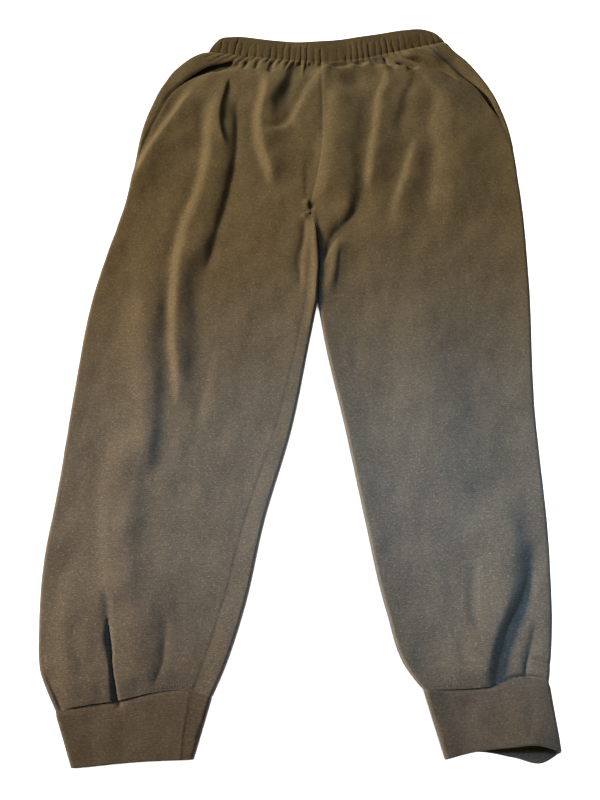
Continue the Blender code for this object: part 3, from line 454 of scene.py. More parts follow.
def waist_share(x):
    left, right = BAND_ENDS["seam"]
    return (x - left) / (right - left)


waist_seam, middle_line = smooth(WAIST_SEAM), smooth(MIDDLE_LINE)
outer_edge, parted_edge, side_inset, inseam_inset, mouth_gape, ankle_seam = (
    {side: smooth(rows) for side, rows in table.items()}
    for table in (OUTER_EDGE, INNER_EDGE, SIDE_SEAM, INSEAM, POCKET_MOUTH, ANKLE_SEAM))


def laid_across(mark, width, side_radius, inner_radius):
    """Distance across a laid tube at a mark: 0 to 1 up the side roll, 1 to 2 over the flat and 2 to
    3 down the inner roll."""
    side_roll = side_radius * (1 - np.cos(QUARTER_TURN * np.clip(mark, 0, 1)))
    inner_roll = width - inner_radius * (1 - np.sin(QUARTER_TURN * np.clip(mark - 2, 0, 1)))
    flat = mix(side_radius, width - inner_radius, mark - 1)
    return np.where(mark < 1, side_roll, np.where(mark > 2, inner_roll, flat))


def laid_level(on_top, mark, top, side_top, inner_top):
    """Height of a laid tube's outer skin, from the heights of its top and of its two rolled edges."""
    sign = np.where(on_top, 1.0, -1.0)
    side_roll = 0.5 * side_top * (1 + sign * np.sin(QUARTER_TURN * np.clip(mark, 0, 1)))
    inner_roll = 0.5 * inner_top * (1 + sign * np.cos(QUARTER_TURN * np.clip(mark - 2, 0, 1)))
    flat = np.where(on_top, top, 0.0)
    return np.where(mark < 1, side_roll, np.where(mark > 2, inner_roll, flat))


WHOLE_TURNS = np.arange(-6.0, 4.0)
ROLL_RUN, CREASED_ROLL_RUN, UNDER_SHARE = 0.013, 0.006, 0.22


class LegTube:
    """The laid tube of one leg and its half of the hips, all its rows at once.

    A place round the tube is a turn: 0 at the side edge, 1 where the side roll ends on top, 2 where
    the inner roll begins and 3 at the inner edge.  Turns below 0 run the same way underneath, and
    from -3 to -6 they come back over the top from the inner edge.
    """

    def __init__(self, side, inner_y):
        waist_y, ankle_y = OUTER_EDGE[side][0][0], OUTER_EDGE[side][-1][0]
        ankle_inner_y = INNER_EDGE[side][-1][0]
        self.side, self.inner_y = side, inner_y[:, None]
        self.down = (WAIST_MIDDLE_Y - self.inner_y) / (WAIST_MIDDLE_Y - ankle_inner_y)
        self.outer_y = mix(waist_y, ankle_y, self.down)
        self.outer_x = outer_edge[side](self.outer_y)
        parted = self.inner_y < PARTING_Y
        inner_x = np.where(parted, parted_edge[side](self.inner_y), middle_line(self.inner_y))
        self.width = side * (self.outer_x - inner_x) - 0.5 * SEAM_GAP
        self.meeting = ease((CROTCH_Y + CROTCH_RUN - self.inner_y) / CROTCH_RUN)
        self.parting = ease((CROTCH_Y - self.inner_y) / PARTING_RUN)
        self.inner_radius = INNER_RADIUS * self.parting + 1e-5
        self.waist_x = (OUTER_EDGE[side][0][1], MIDDLE_LINE[0][1])
        self.ankle_x = (OUTER_EDGE[side][-1][1], INNER_EDGE[side][-1][1])
        self.waist_y, self.ankle_y = (waist_y, WAIST_MIDDLE_Y), (ankle_y, ankle_inner_y)
        self.inset = side_inset[side](self.outer_y)
        mouth_top = POCKET_MOUTH[side][0][0]
        self.gape = np.where(self.outer_y < mouth_top, mouth_gape[side](self.outer_y), 0.0)
        self.inner_inset = inseam_inset[side](self.inner_y)

    def place(self, across):
        """x and y at a distance from the side edge."""
        share = across / self.width
        bow_waist = waist_seam(mix(*self.waist_x, share)) - mix(*self.waist_y, share)
        bow_ankle = ankle_seam[self.side](mix(*self.ankle_x, share)) - mix(*self.ankle_y, share)
        y = mix(self.outer_y, self.inner_y, share)
        y = y + ease(1 - self.down / WAIST_BOW) * bow_waist
        y = y + ease((self.down - (1 - ANKLE_BOW)) / ANKLE_BOW) * bow_ankle
        y = y + 0.5 * SEAM_GAP * ((self.down > 1 - 1e-6) * 1.0 - (self.down < 1e-6) * 1.0)
        return self.outer_x - self.side * across, y

    def height(self, across):
        """Height of the upper skin at a distance from the side edge."""
        x, y = self.place(across)
        side_puff = np.exp(-((across / EDGE_PUFF) ** 2))
        inner_puff = self.parting * np.exp(-(((self.width - across) / EDGE_PUFF) ** 2))
        low = LAID_HEIGHT + (EDGE_HEIGHT - LAID_HEIGHT) * side_puff
        rise = low + (EDGE_HEIGHT - LAID_HEIGHT) * inner_puff
        for fold in FOLDS.values():
            rise = rise + fold_height(x, y, fold)
        rise = above(rise, LOWEST_SKIN)
        calm = ease(1 - self.down / WAIST_CALM)
        calm = calm + CALM_AT_ANKLE[self.side] * ease(1 - (1 - self.down) / ANKLE_CALM)
        rise = mix(rise, above(mix(low, rise, CALM_SHARE), LOWEST_SKIN), calm)
        share = waist_share(mix(*self.waist_x, across / self.width))
        from_waist = WAIST_MIDDLE_Y - self.inner_y
        depth = PUCKER_DEPTH * ease(1 - from_waist / pucker_length(share))
        for middle, half_width, gain in PUCKER_BANDS:
            depth = depth * (1 + gain * np.exp(-(((x - middle) / half_width) ** 4)))
        rise = rise + depth * (PUCKER_LIFT + gather_wave(share, PUCKER_SHARPNESS))
        for flank in FLANKS.values():
            rise = rise + flank_height(x, y, flank)
        for crease in CREASES.values():
            rise = rise + fold_height(x, y, ("sharp", *crease))
        for height, radius, dent_x, dent_y in MM * np.array(list(DENTS.values())):
            rise = rise + height * np.exp(-((x - dent_x) ** 2 + (y - dent_y) ** 2) / radius**2)
        rise = rise + ripples(x, y)
        grooves = GROOVE_DEPTH * (GROOVE_LIFT + gather_wave(share, GROOVE_SHARPNESS))
        at_seam = WAIST_SEAM_HEIGHT + grooves
        rise = mix(rise, at_seam, ease(1 - from_waist / SEAM_RUN))
        return above(rise, LOWEST_CREASE, CREASE_EASING)

    def lengths(self):
        """The cloth's run at whole turns from -6 to 3, with the rolls' stretched for more columns."""
        flat = self.width - EDGE_RADIUS - self.inner_radius
        outer_roll = ROLL_RUN + 0 * flat
        inner_roll = mix(CREASED_ROLL_RUN, ROLL_RUN, self.parting) + 0 * flat
        under_flat = UNDER_SHARE * flat
        runs = (outer_roll, flat, inner_roll,  # the top, back from the inner edge
                inner_roll, under_flat, outer_roll,  # the underside, which needs few columns
                outer_roll, flat, inner_roll)  # the top, out from the side edge
        return np.concatenate((0 * flat, np.cumsum(np.concatenate(runs, axis=1), axis=1)), axis=1)

    def turn_at(self, across):
        """The turn, on top, at a distance from the side edge."""
        flat = 1 + (across - EDGE_RADIUS) / (self.width - EDGE_RADIUS - self.inner_radius)
        side_roll = np.arccos(np.clip(1 - across / EDGE_RADIUS, -1, 1)) / QUARTER_TURN
        spare = np.clip((self.width - across) / self.inner_radius, 0, 1)
        inner_roll = 2 + np.arcsin(1 - spare) / QUARTER_TURN
        turn = np.where(across < EDGE_RADIUS, side_roll, flat)
        return np.where(across > self.width - self.inner_radius, inner_roll, turn)

    def turns(self, start, end, start_shift, end_shift, count):
        """Turns of count columns spread evenly along the cloth, closest at the two seams."""
        spread, rows = close_at_ends(count), []
        for k, lengths in enumerate(self.lengths()):
            first = np.interp(start[k, 0], WHOLE_TURNS, lengths) + start_shift[k, 0]
            last = np.interp(end[k, 0], WHOLE_TURNS, lengths) + end_shift
            rows.append(np.interp(mix(first, last, spread), lengths, WHOLE_TURNS))
        return np.array(rows)

    def points(self, turn):
        """Points of the outer skin."""
        on_top = (turn >= 0) | (turn < -3)
        mark = np.where(turn >= 0, turn, np.where(turn >= -3, -turn, 6 + turn))
        across = laid_across(mark, self.width, EDGE_RADIUS, self.inner_radius)
        side_top = self.height(EDGE_RADIUS + 0 * self.width)
        inner_top = self.height(self.width - self.inner_radius)
        level = laid_level(on_top, mark, self.height(across), side_top, inner_top)
        return np.stack((*self.place(across), level), axis=2)


SHARP_EDGE = 62  # degrees


def surface_normals(grid, closed=False):
    """Unit normals of a grid of points, rows down and columns across."""
    if closed:
        across = np.roll(grid, -1, axis=1) - np.roll(grid, 1, axis=1)
    else:
        across = np.gradient(grid, axis=1)
    normal = np.cross(across, np.gradient(grid, axis=0))
    return normal / np.maximum(np.linalg.norm(normal, axis=2, keepdims=True), 1e-12)


def seam_dip(grid, out, depth, reach, sides):
    """Sinks the skin along its sewn edges, as the seam allowance pulls it in."""
    across = np.linalg.norm(np.diff(grid, axis=1), axis=2)
    down = np.linalg.norm(np.diff(grid, axis=0), axis=2)
    zero_column, zero_row = np.zeros((len(grid), 1)), np.zeros((1, grid.shape[1]))
    from_first = np.concatenate((zero_column, np.cumsum(across, axis=1)), axis=1)
    from_top = np.concatenate((zero_row, np.cumsum(down, axis=0)), axis=0)
    distances = {
        "first": from_first, "last": from_first[:, -1:] - from_first,
        "top": from_top, "bottom": from_top[-1:] - from_top,
    }
    sunk = sum(np.exp(-((distances[edge] / reach) ** 2)) for edge in sides)
    return grid - out * (depth * np.clip(sunk, 0, 1))[..., None]


def rim_faces(fine, coarse, places):
    """Triangles between a fine line of points and a coarse one that meets it at places."""
    faces = []
    for k, (a, b) in enumerate(zip(places, places[1:])):
        middle = (a + b) // 2
        faces += [(fine[j], fine[j + 1], coarse[k]) for j in range(a, middle)]
        faces.append((fine[middle], coarse[k + 1], coarse[k]))
        faces += [(fine[j], fine[j + 1], coarse[k + 1]) for j in range(middle, b)]
    return faces


def put_in(name, data):
    """A new object in the scene."""
    added = bpy.data.objects.new(name, data)
    bpy.context.scene.collection.objects.link(added)
    return added


def quads(numbers):
    """Four-sided faces between the rows and columns of a grid of point numbers."""
    corners = (numbers[:-1, :-1], numbers[:-1, 1:], numbers[1:, 1:], numbers[1:, :-1])
    return np.stack(corners, axis=2).reshape(-1, 4)


def turned(faces):
    return [face[::-1] for face in faces]


def whole_numbers(items, field):
    """One whole number of each mesh item."""
    numbers = np.empty(len(items), dtype=np.int32)
    items.foreach_get(field, numbers)
    return numbers


def add_cloth(name, outer, inner, rows_kept, columns_kept, cloth_map, closed=False):
    """A thin shell: a fine outer skin, a coarser inner skin at the kept rows and columns, and the
    cloth's cut edges between them.  cloth_map is the distance across and down the cloth."""
    height, width = outer.shape[:2]
    points = np.concatenate((outer.reshape(-1, 3), inner.reshape(-1, 3))) - FOOTPRINT_MIDDLE
    fine = np.arange(height * width).reshape(height, width)
    coarse = height * width + np.arange(inner.shape[0] * inner.shape[1]).reshape(inner.shape[:2])
    inner_map = cloth_map[np.ix_(rows_kept, columns_kept)]
    maps = np.concatenate((cloth_map.reshape(-1, 2), inner_map.reshape(-1, 2)))
    places = list(columns_kept)
    if closed:
        fine, coarse = (np.concatenate((grid, grid[:, :1]), axis=1) for grid in (fine, coarse))
        places.append(width)
    edges = turned(rim_faces(fine[0], coarse[0], places)) + rim_faces(fine[-1], coarse[-1], places)
    if not closed:
        edges += rim_faces(fine[:, 0], coarse[:, 0], rows_kept)
        edges += turned(rim_faces(fine[:, -1], coarse[:, -1], rows_kept))
    faces = quads(fine).tolist() + quads(coarse)[:, ::-1].tolist()
    faces += [tuple(int(corner) for corner in face) for face in edges]

    mesh = bpy.data.meshes.new(name)
    mesh.from_pydata(points.tolist(), [], faces)
    mesh.calc_loop_triangles()
    corners = points[np.array([t.vertices for t in mesh.loop_triangles])]
    if (corners[:, 0] * np.cross(corners[:, 1], corners[:, 2])).sum() < 0:
        mesh.flip_normals()
    mesh.shade_smooth()
    mesh.set_sharp_from_angle(angle=math.radians(SHARP_EDGE))

    uv = maps[whole_numbers(mesh.loops, "vertex_index")]
    if closed:  # faces over the joint run on past the last column, not back to the first
        first_corners = whole_numbers(mesh.polygons, "loop_start")
        farthest = np.maximum.reduceat(uv[:, 0], first_corners)
        farthest = np.repeat(farthest, whole_numbers(mesh.polygons, "loop_total"))
        wrap = cloth_map[:, -1, 0].max() + 0.5 * (cloth_map[0, -1, 0] - cloth_map[0, -2, 0])
        uv[:, 0] += wrap * ((farthest - uv[:, 0]) > 0.5 * wrap)
    layer = mesh.uv_layers.new(name="cloth")
    layer.data.foreach_set("uv", uv.astype(np.float32).ravel())
    return put_in(name, mesh)


def sew_in(piece, cloth, node):
    """Gives a piece its cloth, fixes it to the root body and hides the model part that it stands in for."""
    piece.data.materials.append(cloth)
    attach(piece, "root")
    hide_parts(node)


def kept(count, step):
    """Every step-th number up to count, and the last."""
    return np.unique(np.append(np.arange(0, count, step), count - 1))


def lowest_nearby(level, reach):
    """The lowest level within reach rows and columns, so an inner skin stays under every crease."""
    for axis in (0, 1):
        pad = [(reach, reach) if k == axis else (0, 0) for k in (0, 1)]
        padded = np.pad(level, pad, mode="edge")
        windows = np.lib.stride_tricks.sliding_window_view(padded, 2 * reach + 1, axis=axis)
        level = windows.min(axis=-1)
    return level


def start_material(name):
    """A new material, its shader, its nodes and its links."""
    material = bpy.data.materials.new(name)
    material.use_nodes = True
    tree = material.node_tree
    return material, tree.nodes["Principled BSDF"], tree.nodes, tree.links


def marl_yarn():
    """Node group for marl knit: light and dark flecks drawn out across the cloth, faint courses,
    cloudy mottling and the brushed nap's relief."""
    group = bpy.data.node_groups.new("marl_yarn", "ShaderNodeTree")
    for way, sockets in (
        ("INPUT", (("Cloth Map", "Vector"), ("Ground", "Color"), ("Light Yarn", "Color"),
                   ("Dark Yarn", "Color"), ("Light Amount", "Float"), ("Dark Amount", "Float"),
                   ("Mottling", "Float"))),
        ("OUTPUT", (("Colour", "Color"), ("Roughness", "Float"), ("Nap", "Float"))),
    ):
        for word, kind in sockets:
            group.interface.new_socket(name=word, in_out=way, socket_type=f"NodeSocket{kind}")
    nodes, links = group.nodes, group.links
    entry, leave = nodes.new("NodeGroupInput"), nodes.new("NodeGroupOutput")

    def feed(socket, value):
        if isinstance(value, (float, tuple)):
            socket.default_value = value
        else:
            links.new(value, socket)

    def noise(across, down, detail, offset):
        """Noise with so many flecks to a metre across and down the cloth."""
        scale = nodes.new("ShaderNodeVectorMath")
        scale.operation = "MULTIPLY_ADD"
        feed(scale.inputs[0], entry.outputs["Cloth Map"])
        feed(scale.inputs[1], (across, down, 1.0))
        feed(scale.inputs[2], (offset, 1.7 * offset, 0.0))
        texture = nodes.new("ShaderNodeTexNoise")
        texture.noise_dimensions = "2D"
        for word, value in (("Vector", scale.outputs[0]), ("Scale", 1.0), ("Detail", detail),
                            ("Roughness", 0.6)):
            feed(texture.inputs[word], value)
        return texture.outputs["Fac"]

    def ramp(value, low, high, to_low=0.0, to_high=1.0):
        node = nodes.new("ShaderNodeMapRange")
        for word, number in zip(("Value", "From Min", "From Max", "To Min", "To Max"),
                                (value, low, high, to_low, to_high)):
            feed(node.inputs[word], number)
        return node.outputs["Result"]

    def reckon(operation, a, b):
        node = nodes.new("ShaderNodeMath")
        node.operation = operation
        feed(node.inputs[0], a)
        feed(node.inputs[1], b)
        return node.outputs[0]

    def blend(amount, first, second, kind="MIX"):
        node = nodes.new("ShaderNodeMix")
        node.data_type, node.blend_type = "RGBA", kind
        for word, value in (("Factor", amount), ("A", first), ("B", second)):
            feed(node.inputs[word], value)
        return node.outputs["Result"]

    def shaded(ground, mask, depth, amount=1.0):
        """The ground, darker by depth where the mask is 0 and lighter where it is 1."""
        darkest, lightest = (3 * (tone,) + (1.0,) for tone in (1 - depth, 1 + depth))
        return blend(amount, ground, blend(mask, darkest, lightest), "MULTIPLY")

    clouds = ramp(noise(26, 20, 3.0, 4.1), 0.30, 0.70)
    courses = ramp(noise(34, 820, 2.0, 9.3), 0.30, 0.70)
    grain = ramp(noise(190, 250, 2.0, 23.8), 0.30, 0.70)
    patches = ramp(noise(150, 230, 2.0, 17.3), 0.36, 0.64, 0.25, 1.0)
    light = reckon("MULTIPLY", ramp(noise(330, 1080, 1.5, 0.0), 0.55, 0.68), patches)
    dark = ramp(noise(290, 900, 1.5, 31.7), 0.55, 0.70)
    fuzz = noise(1500, 1900, 2.0, 12.9)
    colour = shaded(entry.outputs["Ground"], clouds, 0.38, entry.outputs["Mottling"])
    colour = shaded(shaded(colour, courses, 0.10), grain, 0.07)
    for yarn, amount in (("Dark", dark), ("Light", light)):
        amount = reckon("MULTIPLY", amount, entry.outputs[f"{yarn} Amount"])
        colour = blend(amount, colour, entry.outputs[f"{yarn} Yarn"])
    nap = reckon("ADD", reckon("MULTIPLY", fuzz, 0.6), reckon("MULTIPLY", courses, 0.4))
    for word, value in (("Colour", colour), ("Roughness", ramp(light, 0.0, 1.0, 0.90, 0.80)), ("Nap", nap)):
        feed(leave.inputs[word], value)
    return group


NAP_DEPTH = 0.0006


def marl_cloth(name, ground, light_yarn, dark_yarn, light_amount, dark_amount, mottling, sheen, relief):
    """A material of marl knit on the piece's own cloth map."""
    material, shader, nodes, links = start_material(name)
    cloth_map = nodes.new("ShaderNodeUVMap")
    cloth_map.uv_map = "cloth"
    yarn = nodes.new("ShaderNodeGroup")
    yarn.node_tree = bpy.data.node_groups.get("marl_yarn") or marl_yarn()
    links.new(cloth_map.outputs["UV"], yarn.inputs["Cloth Map"])
    for word, value in (
        ("Ground", (*ground, 1)), ("Light Yarn", (*light_yarn, 1)), ("Dark Yarn", (*dark_yarn, 1)),
        ("Light Amount", light_amount), ("Dark Amount", dark_amount), ("Mottling", mottling),
    ):
        yarn.inputs[word].default_value = value
    links.new(yarn.outputs["Colour"], shader.inputs["Base Color"])
    links.new(yarn.outputs["Roughness"], shader.inputs["Roughness"])
    bump = nodes.new("ShaderNodeBump")
    bump.inputs["Strength"].default_value = relief
    bump.inputs["Distance"].default_value = NAP_DEPTH
    links.new(yarn.outputs["Nap"], bump.inputs["Height"])
    links.new(bump.outputs["Normal"], shader.inputs["Normal"])
    shader.inputs["Specular IOR Level"].default_value = 0.18
    shader.inputs["Sheen Weight"].default_value = sheen
    shader.inputs["Sheen Roughness"].default_value = 0.55
    return material


fleece = marl_cloth("brushed_fleece", (0.123, 0.105, 0.082), (0.290, 0.275, 0.245), (0.045, 0.037, 0.028),
                    0.52, 0.40, 0.28, 0.10, 0.45)

FRONT_COLUMNS, BACK_COLUMNS, PANEL_ROWS = 150, 92, 430
PANEL_DIP, PANEL_DIP_REACH = 0.0006, 0.0026
for side, word in HALVES:
    bottom_y = INNER_EDGE[side][-1][0]
    tube = LegTube(side, mix(WAIST_MIDDLE_Y, bottom_y, close_at_ends(PANEL_ROWS)))
    met = tube.meeting > 0.999  # rows below the crotch, where front and back meet in an inseam
    side_turn = tube.turn_at(tube.inset)
    inner_turn = np.where(met, tube.turn_at(tube.width - tube.inner_inset), 2 + tube.meeting)
    under_turn = np.where(met, inner_turn - 6, -2 - tube.meeting)
    half_gap = 0.5 * (SEAM_GAP + tube.gape)
    for layer in ("front", "back"):
        name = f"{layer}_{word}"
        if layer == "front":
            step, sewn, rests_on = 4, ("first", "top", "bottom", "last"), [f"back_{word}_fleece"]
            turn = tube.turns(side_turn, inner_turn, 1.5 * half_gap, -0.5 * SEAM_GAP, FRONT_COLUMNS)
        else:
            step, sewn, rests_on = 3, ("first", "top", "bottom"), []
            turn = tube.turns(side_turn, under_turn, -0.5 * half_gap, 0.5 * SEAM_GAP, BACK_COLUMNS)
        grid = tube.points(turn)
        out = side * surface_normals(grid) * (1 if layer == "front" else -1)
        grid = seam_dip(grid, out, PANEL_DIP, PANEL_DIP_REACH, sewn)
        inner = grid - FLEECE_CLOTH * out
        if layer == "front":
            level = lowest_nearby(grid[..., 2], step) - FLEECE_CLOTH
            inner[..., 2] = np.where(turn > 1.0, np.minimum(inner[..., 2], level), inner[..., 2])
        rows_kept, columns_kept = kept(PANEL_ROWS, step), kept(turn.shape[1], step)
        lengths = tube.lengths()
        across = np.array([np.interp(row, WHOLE_TURNS, run) for row, run in zip(turn, lengths)])
        across = across - lengths[:, 6:7] - (0.0 if side == LEFT else 3.0)
        cloth_map = np.stack((across, tube.inner_y - WAIST_MIDDLE_Y + 0 * across), axis=2)
        piece = add_cloth(name + "_fleece", grid, inner[np.ix_(rows_kept, columns_kept)], rows_kept,
                          columns_kept, cloth_map)
        sew_in(piece, fleece, name)


# ---------------------------------------------------------------- pocket bags
# A flat bag of thin jersey behind each pocket mouth, sewn into the side seam and lying loose
# between the front and the back.

BAG_CLOTH = 0.0012
BAG_DEPTH, BAG_NARROWEST = 0.105, 0.030
BAG_HEIGHT, BAG_WAVE = 0.0034, 0.0003
BAG_ROWS, BAG_COLUMNS = 60, 40
BAG_ENDS = {LEFT: (0.428, 0.245), RIGHT: (0.440, 0.265)}

# The bag is a real piece, but its jersey is coloured about half as bright as the fleece: painted shade for
# the inside of the pocket mouths.
painted_shade_bag_jersey = marl_cloth("pocket_jersey_painted_shade", (0.062, 0.052, 0.039), (0.110, 0.100, 0.085), (0.030, 0.025, 0.019),
                        0.30, 0.40, 0.20, 0.0, 0.30)

for side, word in HALVES:
    top, bottom = BAG_ENDS[side]
    along = np.linspace(0.0, 1.0, BAG_ROWS)[:, None]
    over = np.linspace(0.0, 1.0, BAG_COLUMNS)[None, :]
    y = mix(top, bottom, along)
    seam = side_inset[side](y)
    round_off = np.sqrt(np.clip(1 - np.clip((along - 0.55) / 0.45, 0, 1) ** 2, 0, 1))
    near = np.maximum(EDGE_RADIUS + 0.005, seam - 0.018)
    spread = mix(0.55, 1.0, ease(along / 0.5)) * mix(0.25, 1.0, round_off)
    far = near + mix(BAG_NARROWEST, BAG_DEPTH, spread)
    x = outer_edge[side](y) - side * mix(near, far, over)
    level = BAG_HEIGHT + BAG_WAVE * np.sin(70 * x + 90 * y) * np.sin(math.pi * over) + 0 * x
    grid = np.stack((x, y + 0 * x, level), axis=2)
    rows_kept, columns_kept = kept(BAG_ROWS, 3), kept(BAG_COLUMNS, 3)
    inner = (grid - np.array((0, 0, BAG_CLOTH)))[np.ix_(rows_kept, columns_kept)]
    cloth_map = grid[..., :2].copy()
    piece = add_cloth(f"pocket_bag_{word}_jersey", grid, inner, rows_kept, columns_kept, cloth_map)
    sew_in(piece, painted_shade_bag_jersey, f"pocket_bag_{word}")


# ---------------------------------------------------------------- ankle cuffs
# A tube of the same knit, folded double at the hem and sewn to the gathered leg.  The left cuff's
# own seam shows near its inner edge, and the right cuff's front is lifted off its back at the hem.

CUFF_CLOTH = 0.0026
CUFF_LAID_HEIGHT = 0.0086
CUFF_EDGE_HEIGHT = 0.0102
CUFF_RADIUS = 0.0045
CUFF_PUFF, INNER_PUFF = 0.018, {LEFT: 0.2, RIGHT: 1.0}
CUFF_RIPPLE = 0.8
CUFF_EDGES = {
    LEFT: {"outer": (-0.254, -0.232), "inner": (-0.097, -0.112)},
    RIGHT: {"outer": (0.246, 0.249), "inner": (0.117, 0.134)},
}
FRONT_HEM = {
    LEFT: ((-0.232, -0.495), (-0.165, -0.489), (-0.112, -0.487)),
    RIGHT: ((0.134, -0.487), (0.164, -0.480), (0.200, -0.476), (0.222, -0.474), (0.249, -0.480)),
}
BACK_HEM = {
    LEFT: FRONT_HEM[LEFT],
    RIGHT: ((0.134, -0.487), (0.164, -0.480), (0.203, -0.485), (0.230, -0.490), (0.249, -0.481)),
}
MOUTH = {"x": 0.218, "width": 0.028, "lift": 0.0090}
CUFF_CREASES = {  # as on the leg: height, width to the left and right, and the line
    LEFT: {
        "seam ridge": (0.7, 3.6, 1.2, ((-119.5, -415), (-121.5, -440), (-124.5, -465), (-125, -510))),
        "slit foot": (-3, 3, 3, ((-190, -428), (-190, -434), (-188, -441))),
        "outer dent": (-1, 14, 10, ((-222, -435), (-214, -465), (-212, -500))),
    },
    RIGHT: {
        "shade dent": (-1.8, 4, 12, ((122, -424), (140, -431), (160, -438), (180, -444))),
        "hem swell": (1.2, 12, 16, ((165, -440), (168, -465), (170, -490))),
        "side dent": (-1.4, 7, 7, ((226, -425), (222, -450), (214, -475))),
    },
}
CUFF_ROWS, CUFF_COLUMNS = 40, 300
CUFF_DIP, CUFF_DIP_REACH = 0.0012, 0.0028
HEM_TURNS, HEM_FOLD = 9, 168  # rows round a folded edge, and how far it turns in degrees

cuff_knit = marl_cloth("cuff_knit", (0.105, 0.087, 0.067), (0.240, 0.220, 0.190), (0.045, 0.036, 0.027),
                       0.42, 0.45, 0.40, 0.08, 0.45)


def closed_ring(width, radius, count, rows):
    """Turns and marks round a flattened ring, the distance across it and its girth.  Turns are
    evenly spread, 0 to 3 over the top and 3 to 6 back underneath."""
    roll, flat = QUARTER_TURN * radius, float(width[0, 0]) - 2 * radius
    run = np.concatenate(([0.0], np.cumsum((roll, flat, roll, roll, flat, roll))))
    turn = np.interp(np.linspace(0, run[-1], count + 1)[:-1], run, np.arange(7.0)) + np.zeros((rows, 1))
    mark = np.where(turn <= 3, turn, 6 - turn)
    return turn, mark, laid_across(mark, width, radius, radius), run[-1]


def fold_over(grid, out, thickness):
    """Rows that carry the last row of a doubled cloth round its folded edge."""
    ahead = grid[-1] - grid[-2]
    ahead = ahead / np.linalg.norm(ahead, axis=1, keepdims=True)
    half, last = 0.5 * thickness, out[-1]
    middle = grid[-1] - half * last
    angles = np.linspace(0.0, math.radians(HEM_FOLD), HEM_TURNS + 1)[1:]
    return np.array([middle + half * (math.cos(t) * last + math.sin(t) * ahead) for t in angles])


def add_folded_ring(name, grid, out, inner, thickness, step, girth, drop, map_start, map_way):
    """A ring of doubled cloth, folded over at its last row.  Its cloth map runs drop far from
    map_start, down the cloth with a map_way of -1 and up with 1."""
    rows, columns = grid.shape[:2]
    rows_kept, columns_kept = kept(rows - 1, 3), np.arange(0, columns, step)
    round_fold = drop + thickness * np.linspace(0.2, 1.5, HEM_TURNS)
    run = np.concatenate((drop * np.linspace(0.0, 1.0, rows), round_fold))
    round_cloth = np.linspace(0, girth, columns + 1)[:-1]
    cloth_map = np.stack(np.meshgrid(round_cloth, map_start + map_way * run), axis=2)
    inner = inner[np.ix_(rows_kept, columns_kept)]
    grid = np.concatenate((grid, fold_over(grid, out, thickness)))
    return add_cloth(name, grid, inner, rows_kept, columns_kept, cloth_map, closed=True)


def cuff_top(side, down, width, across, x, y):
    """Height of a cuff's upper skin, with its lifted mouth and its creases."""
    outer_puff = np.exp(-((across / CUFF_PUFF) ** 2))
    edges = outer_puff + INNER_PUFF[side] * np.exp(-(((width - across) / CUFF_PUFF) ** 2))
    level = CUFF_LAID_HEIGHT + (CUFF_EDGE_HEIGHT - CUFF_LAID_HEIGHT) * edges
    if side == RIGHT:
        level = level + MOUTH["lift"] * ease(down) * np.exp(-(((x - MOUTH["x"]) / MOUTH["width"]) ** 2))
    for crease in CUFF_CREASES[side].values():
        level = level + fold_height(x, y, ("sharp", *crease))
    return level + CUFF_RIPPLE * ripples(x, y)


for side, word in HALVES:
    outer, inner = CUFF_EDGES[side]["outer"], CUFF_EDGES[side]["inner"]
    down = np.linspace(0.0, 1.0, CUFF_ROWS)[:, None]
    outer_x, inner_x = mix(*outer, down), mix(*inner, down)
    width = side * (outer_x - inner_x)
    turn, mark, across, girth = closed_ring(width, CUFF_RADIUS, CUFF_COLUMNS, CUFF_ROWS)
    x = outer_x - side * across
    hem = np.where(turn <= 3, smooth(FRONT_HEM[side])(x), smooth(BACK_HEM[side])(x)) + 0.5 * CUFF_CLOTH
    seam_y = ankle_seam[side](mix(outer[0], inner[0], across / width)) - 0.5 * SEAM_GAP
    edge_y = mix(seam_y[:, :1], hem[:, :1], down)
    top = cuff_top(side, down, width, across, x, mix(seam_y, hem, down))
    side_top = cuff_top(side, down, width, CUFF_RADIUS + 0 * width, outer_x - side * CUFF_RADIUS, edge_y)
    inner_top = cuff_top(side, down, width, width - CUFF_RADIUS, inner_x + side * CUFF_RADIUS, edge_y)
    level = laid_level(turn <= 3, mark, top, side_top, inner_top)
    grid = np.stack((x, mix(seam_y, hem, down), level), axis=2)
    out = side * surface_normals(grid, closed=True)
    grid = seam_dip(grid, out * (turn <= 3)[..., None], CUFF_DIP, CUFF_DIP_REACH, ("top",))
    piece = add_folded_ring(f"cuff_{word}_knit", grid, out, grid - CUFF_CLOTH * out, CUFF_CLOTH, 3, girth,
                            0.060, -1.2, -1)
    sew_in(piece, cuff_knit, f"cuff_{word}")


# ---------------------------------------------------------------- waistband
# A casing of the same fleece folded over wide elastic and sewn round the waist.  The elastic draws
# it into close upright grooves that stop short of the rounded top fold.

BAND_CLOTH = 0.0030
BAND_TOP = ((-0.136, 0.465), (-0.127, 0.476), (-0.107, 0.4825), (-0.046, 0.476), (0.004, 0.4735),
            (0.083, 0.483), (0.145, 0.4965), (0.180, 0.497), (0.192, 0.490), (0.199, 0.480))
GROOVE_SLANT = (0.0040, -0.0028, 0.0012, 0.0052, -0.0042, 0.0006, -0.0020)
BAND_CROWN = 0.0012
BAND_DIP, BAND_DIP_REACH = 0.0004, 0.0030
BAND_ROWS, BAND_COLUMNS = 36, 1100

band_fleece = marl_cloth("band_fleece", (0.090, 0.072, 0.049), (0.190, 0.167, 0.126), (0.036, 0.027, 0.018),
                         0.40, 0.45, 0.35, 0.08, 0.50)

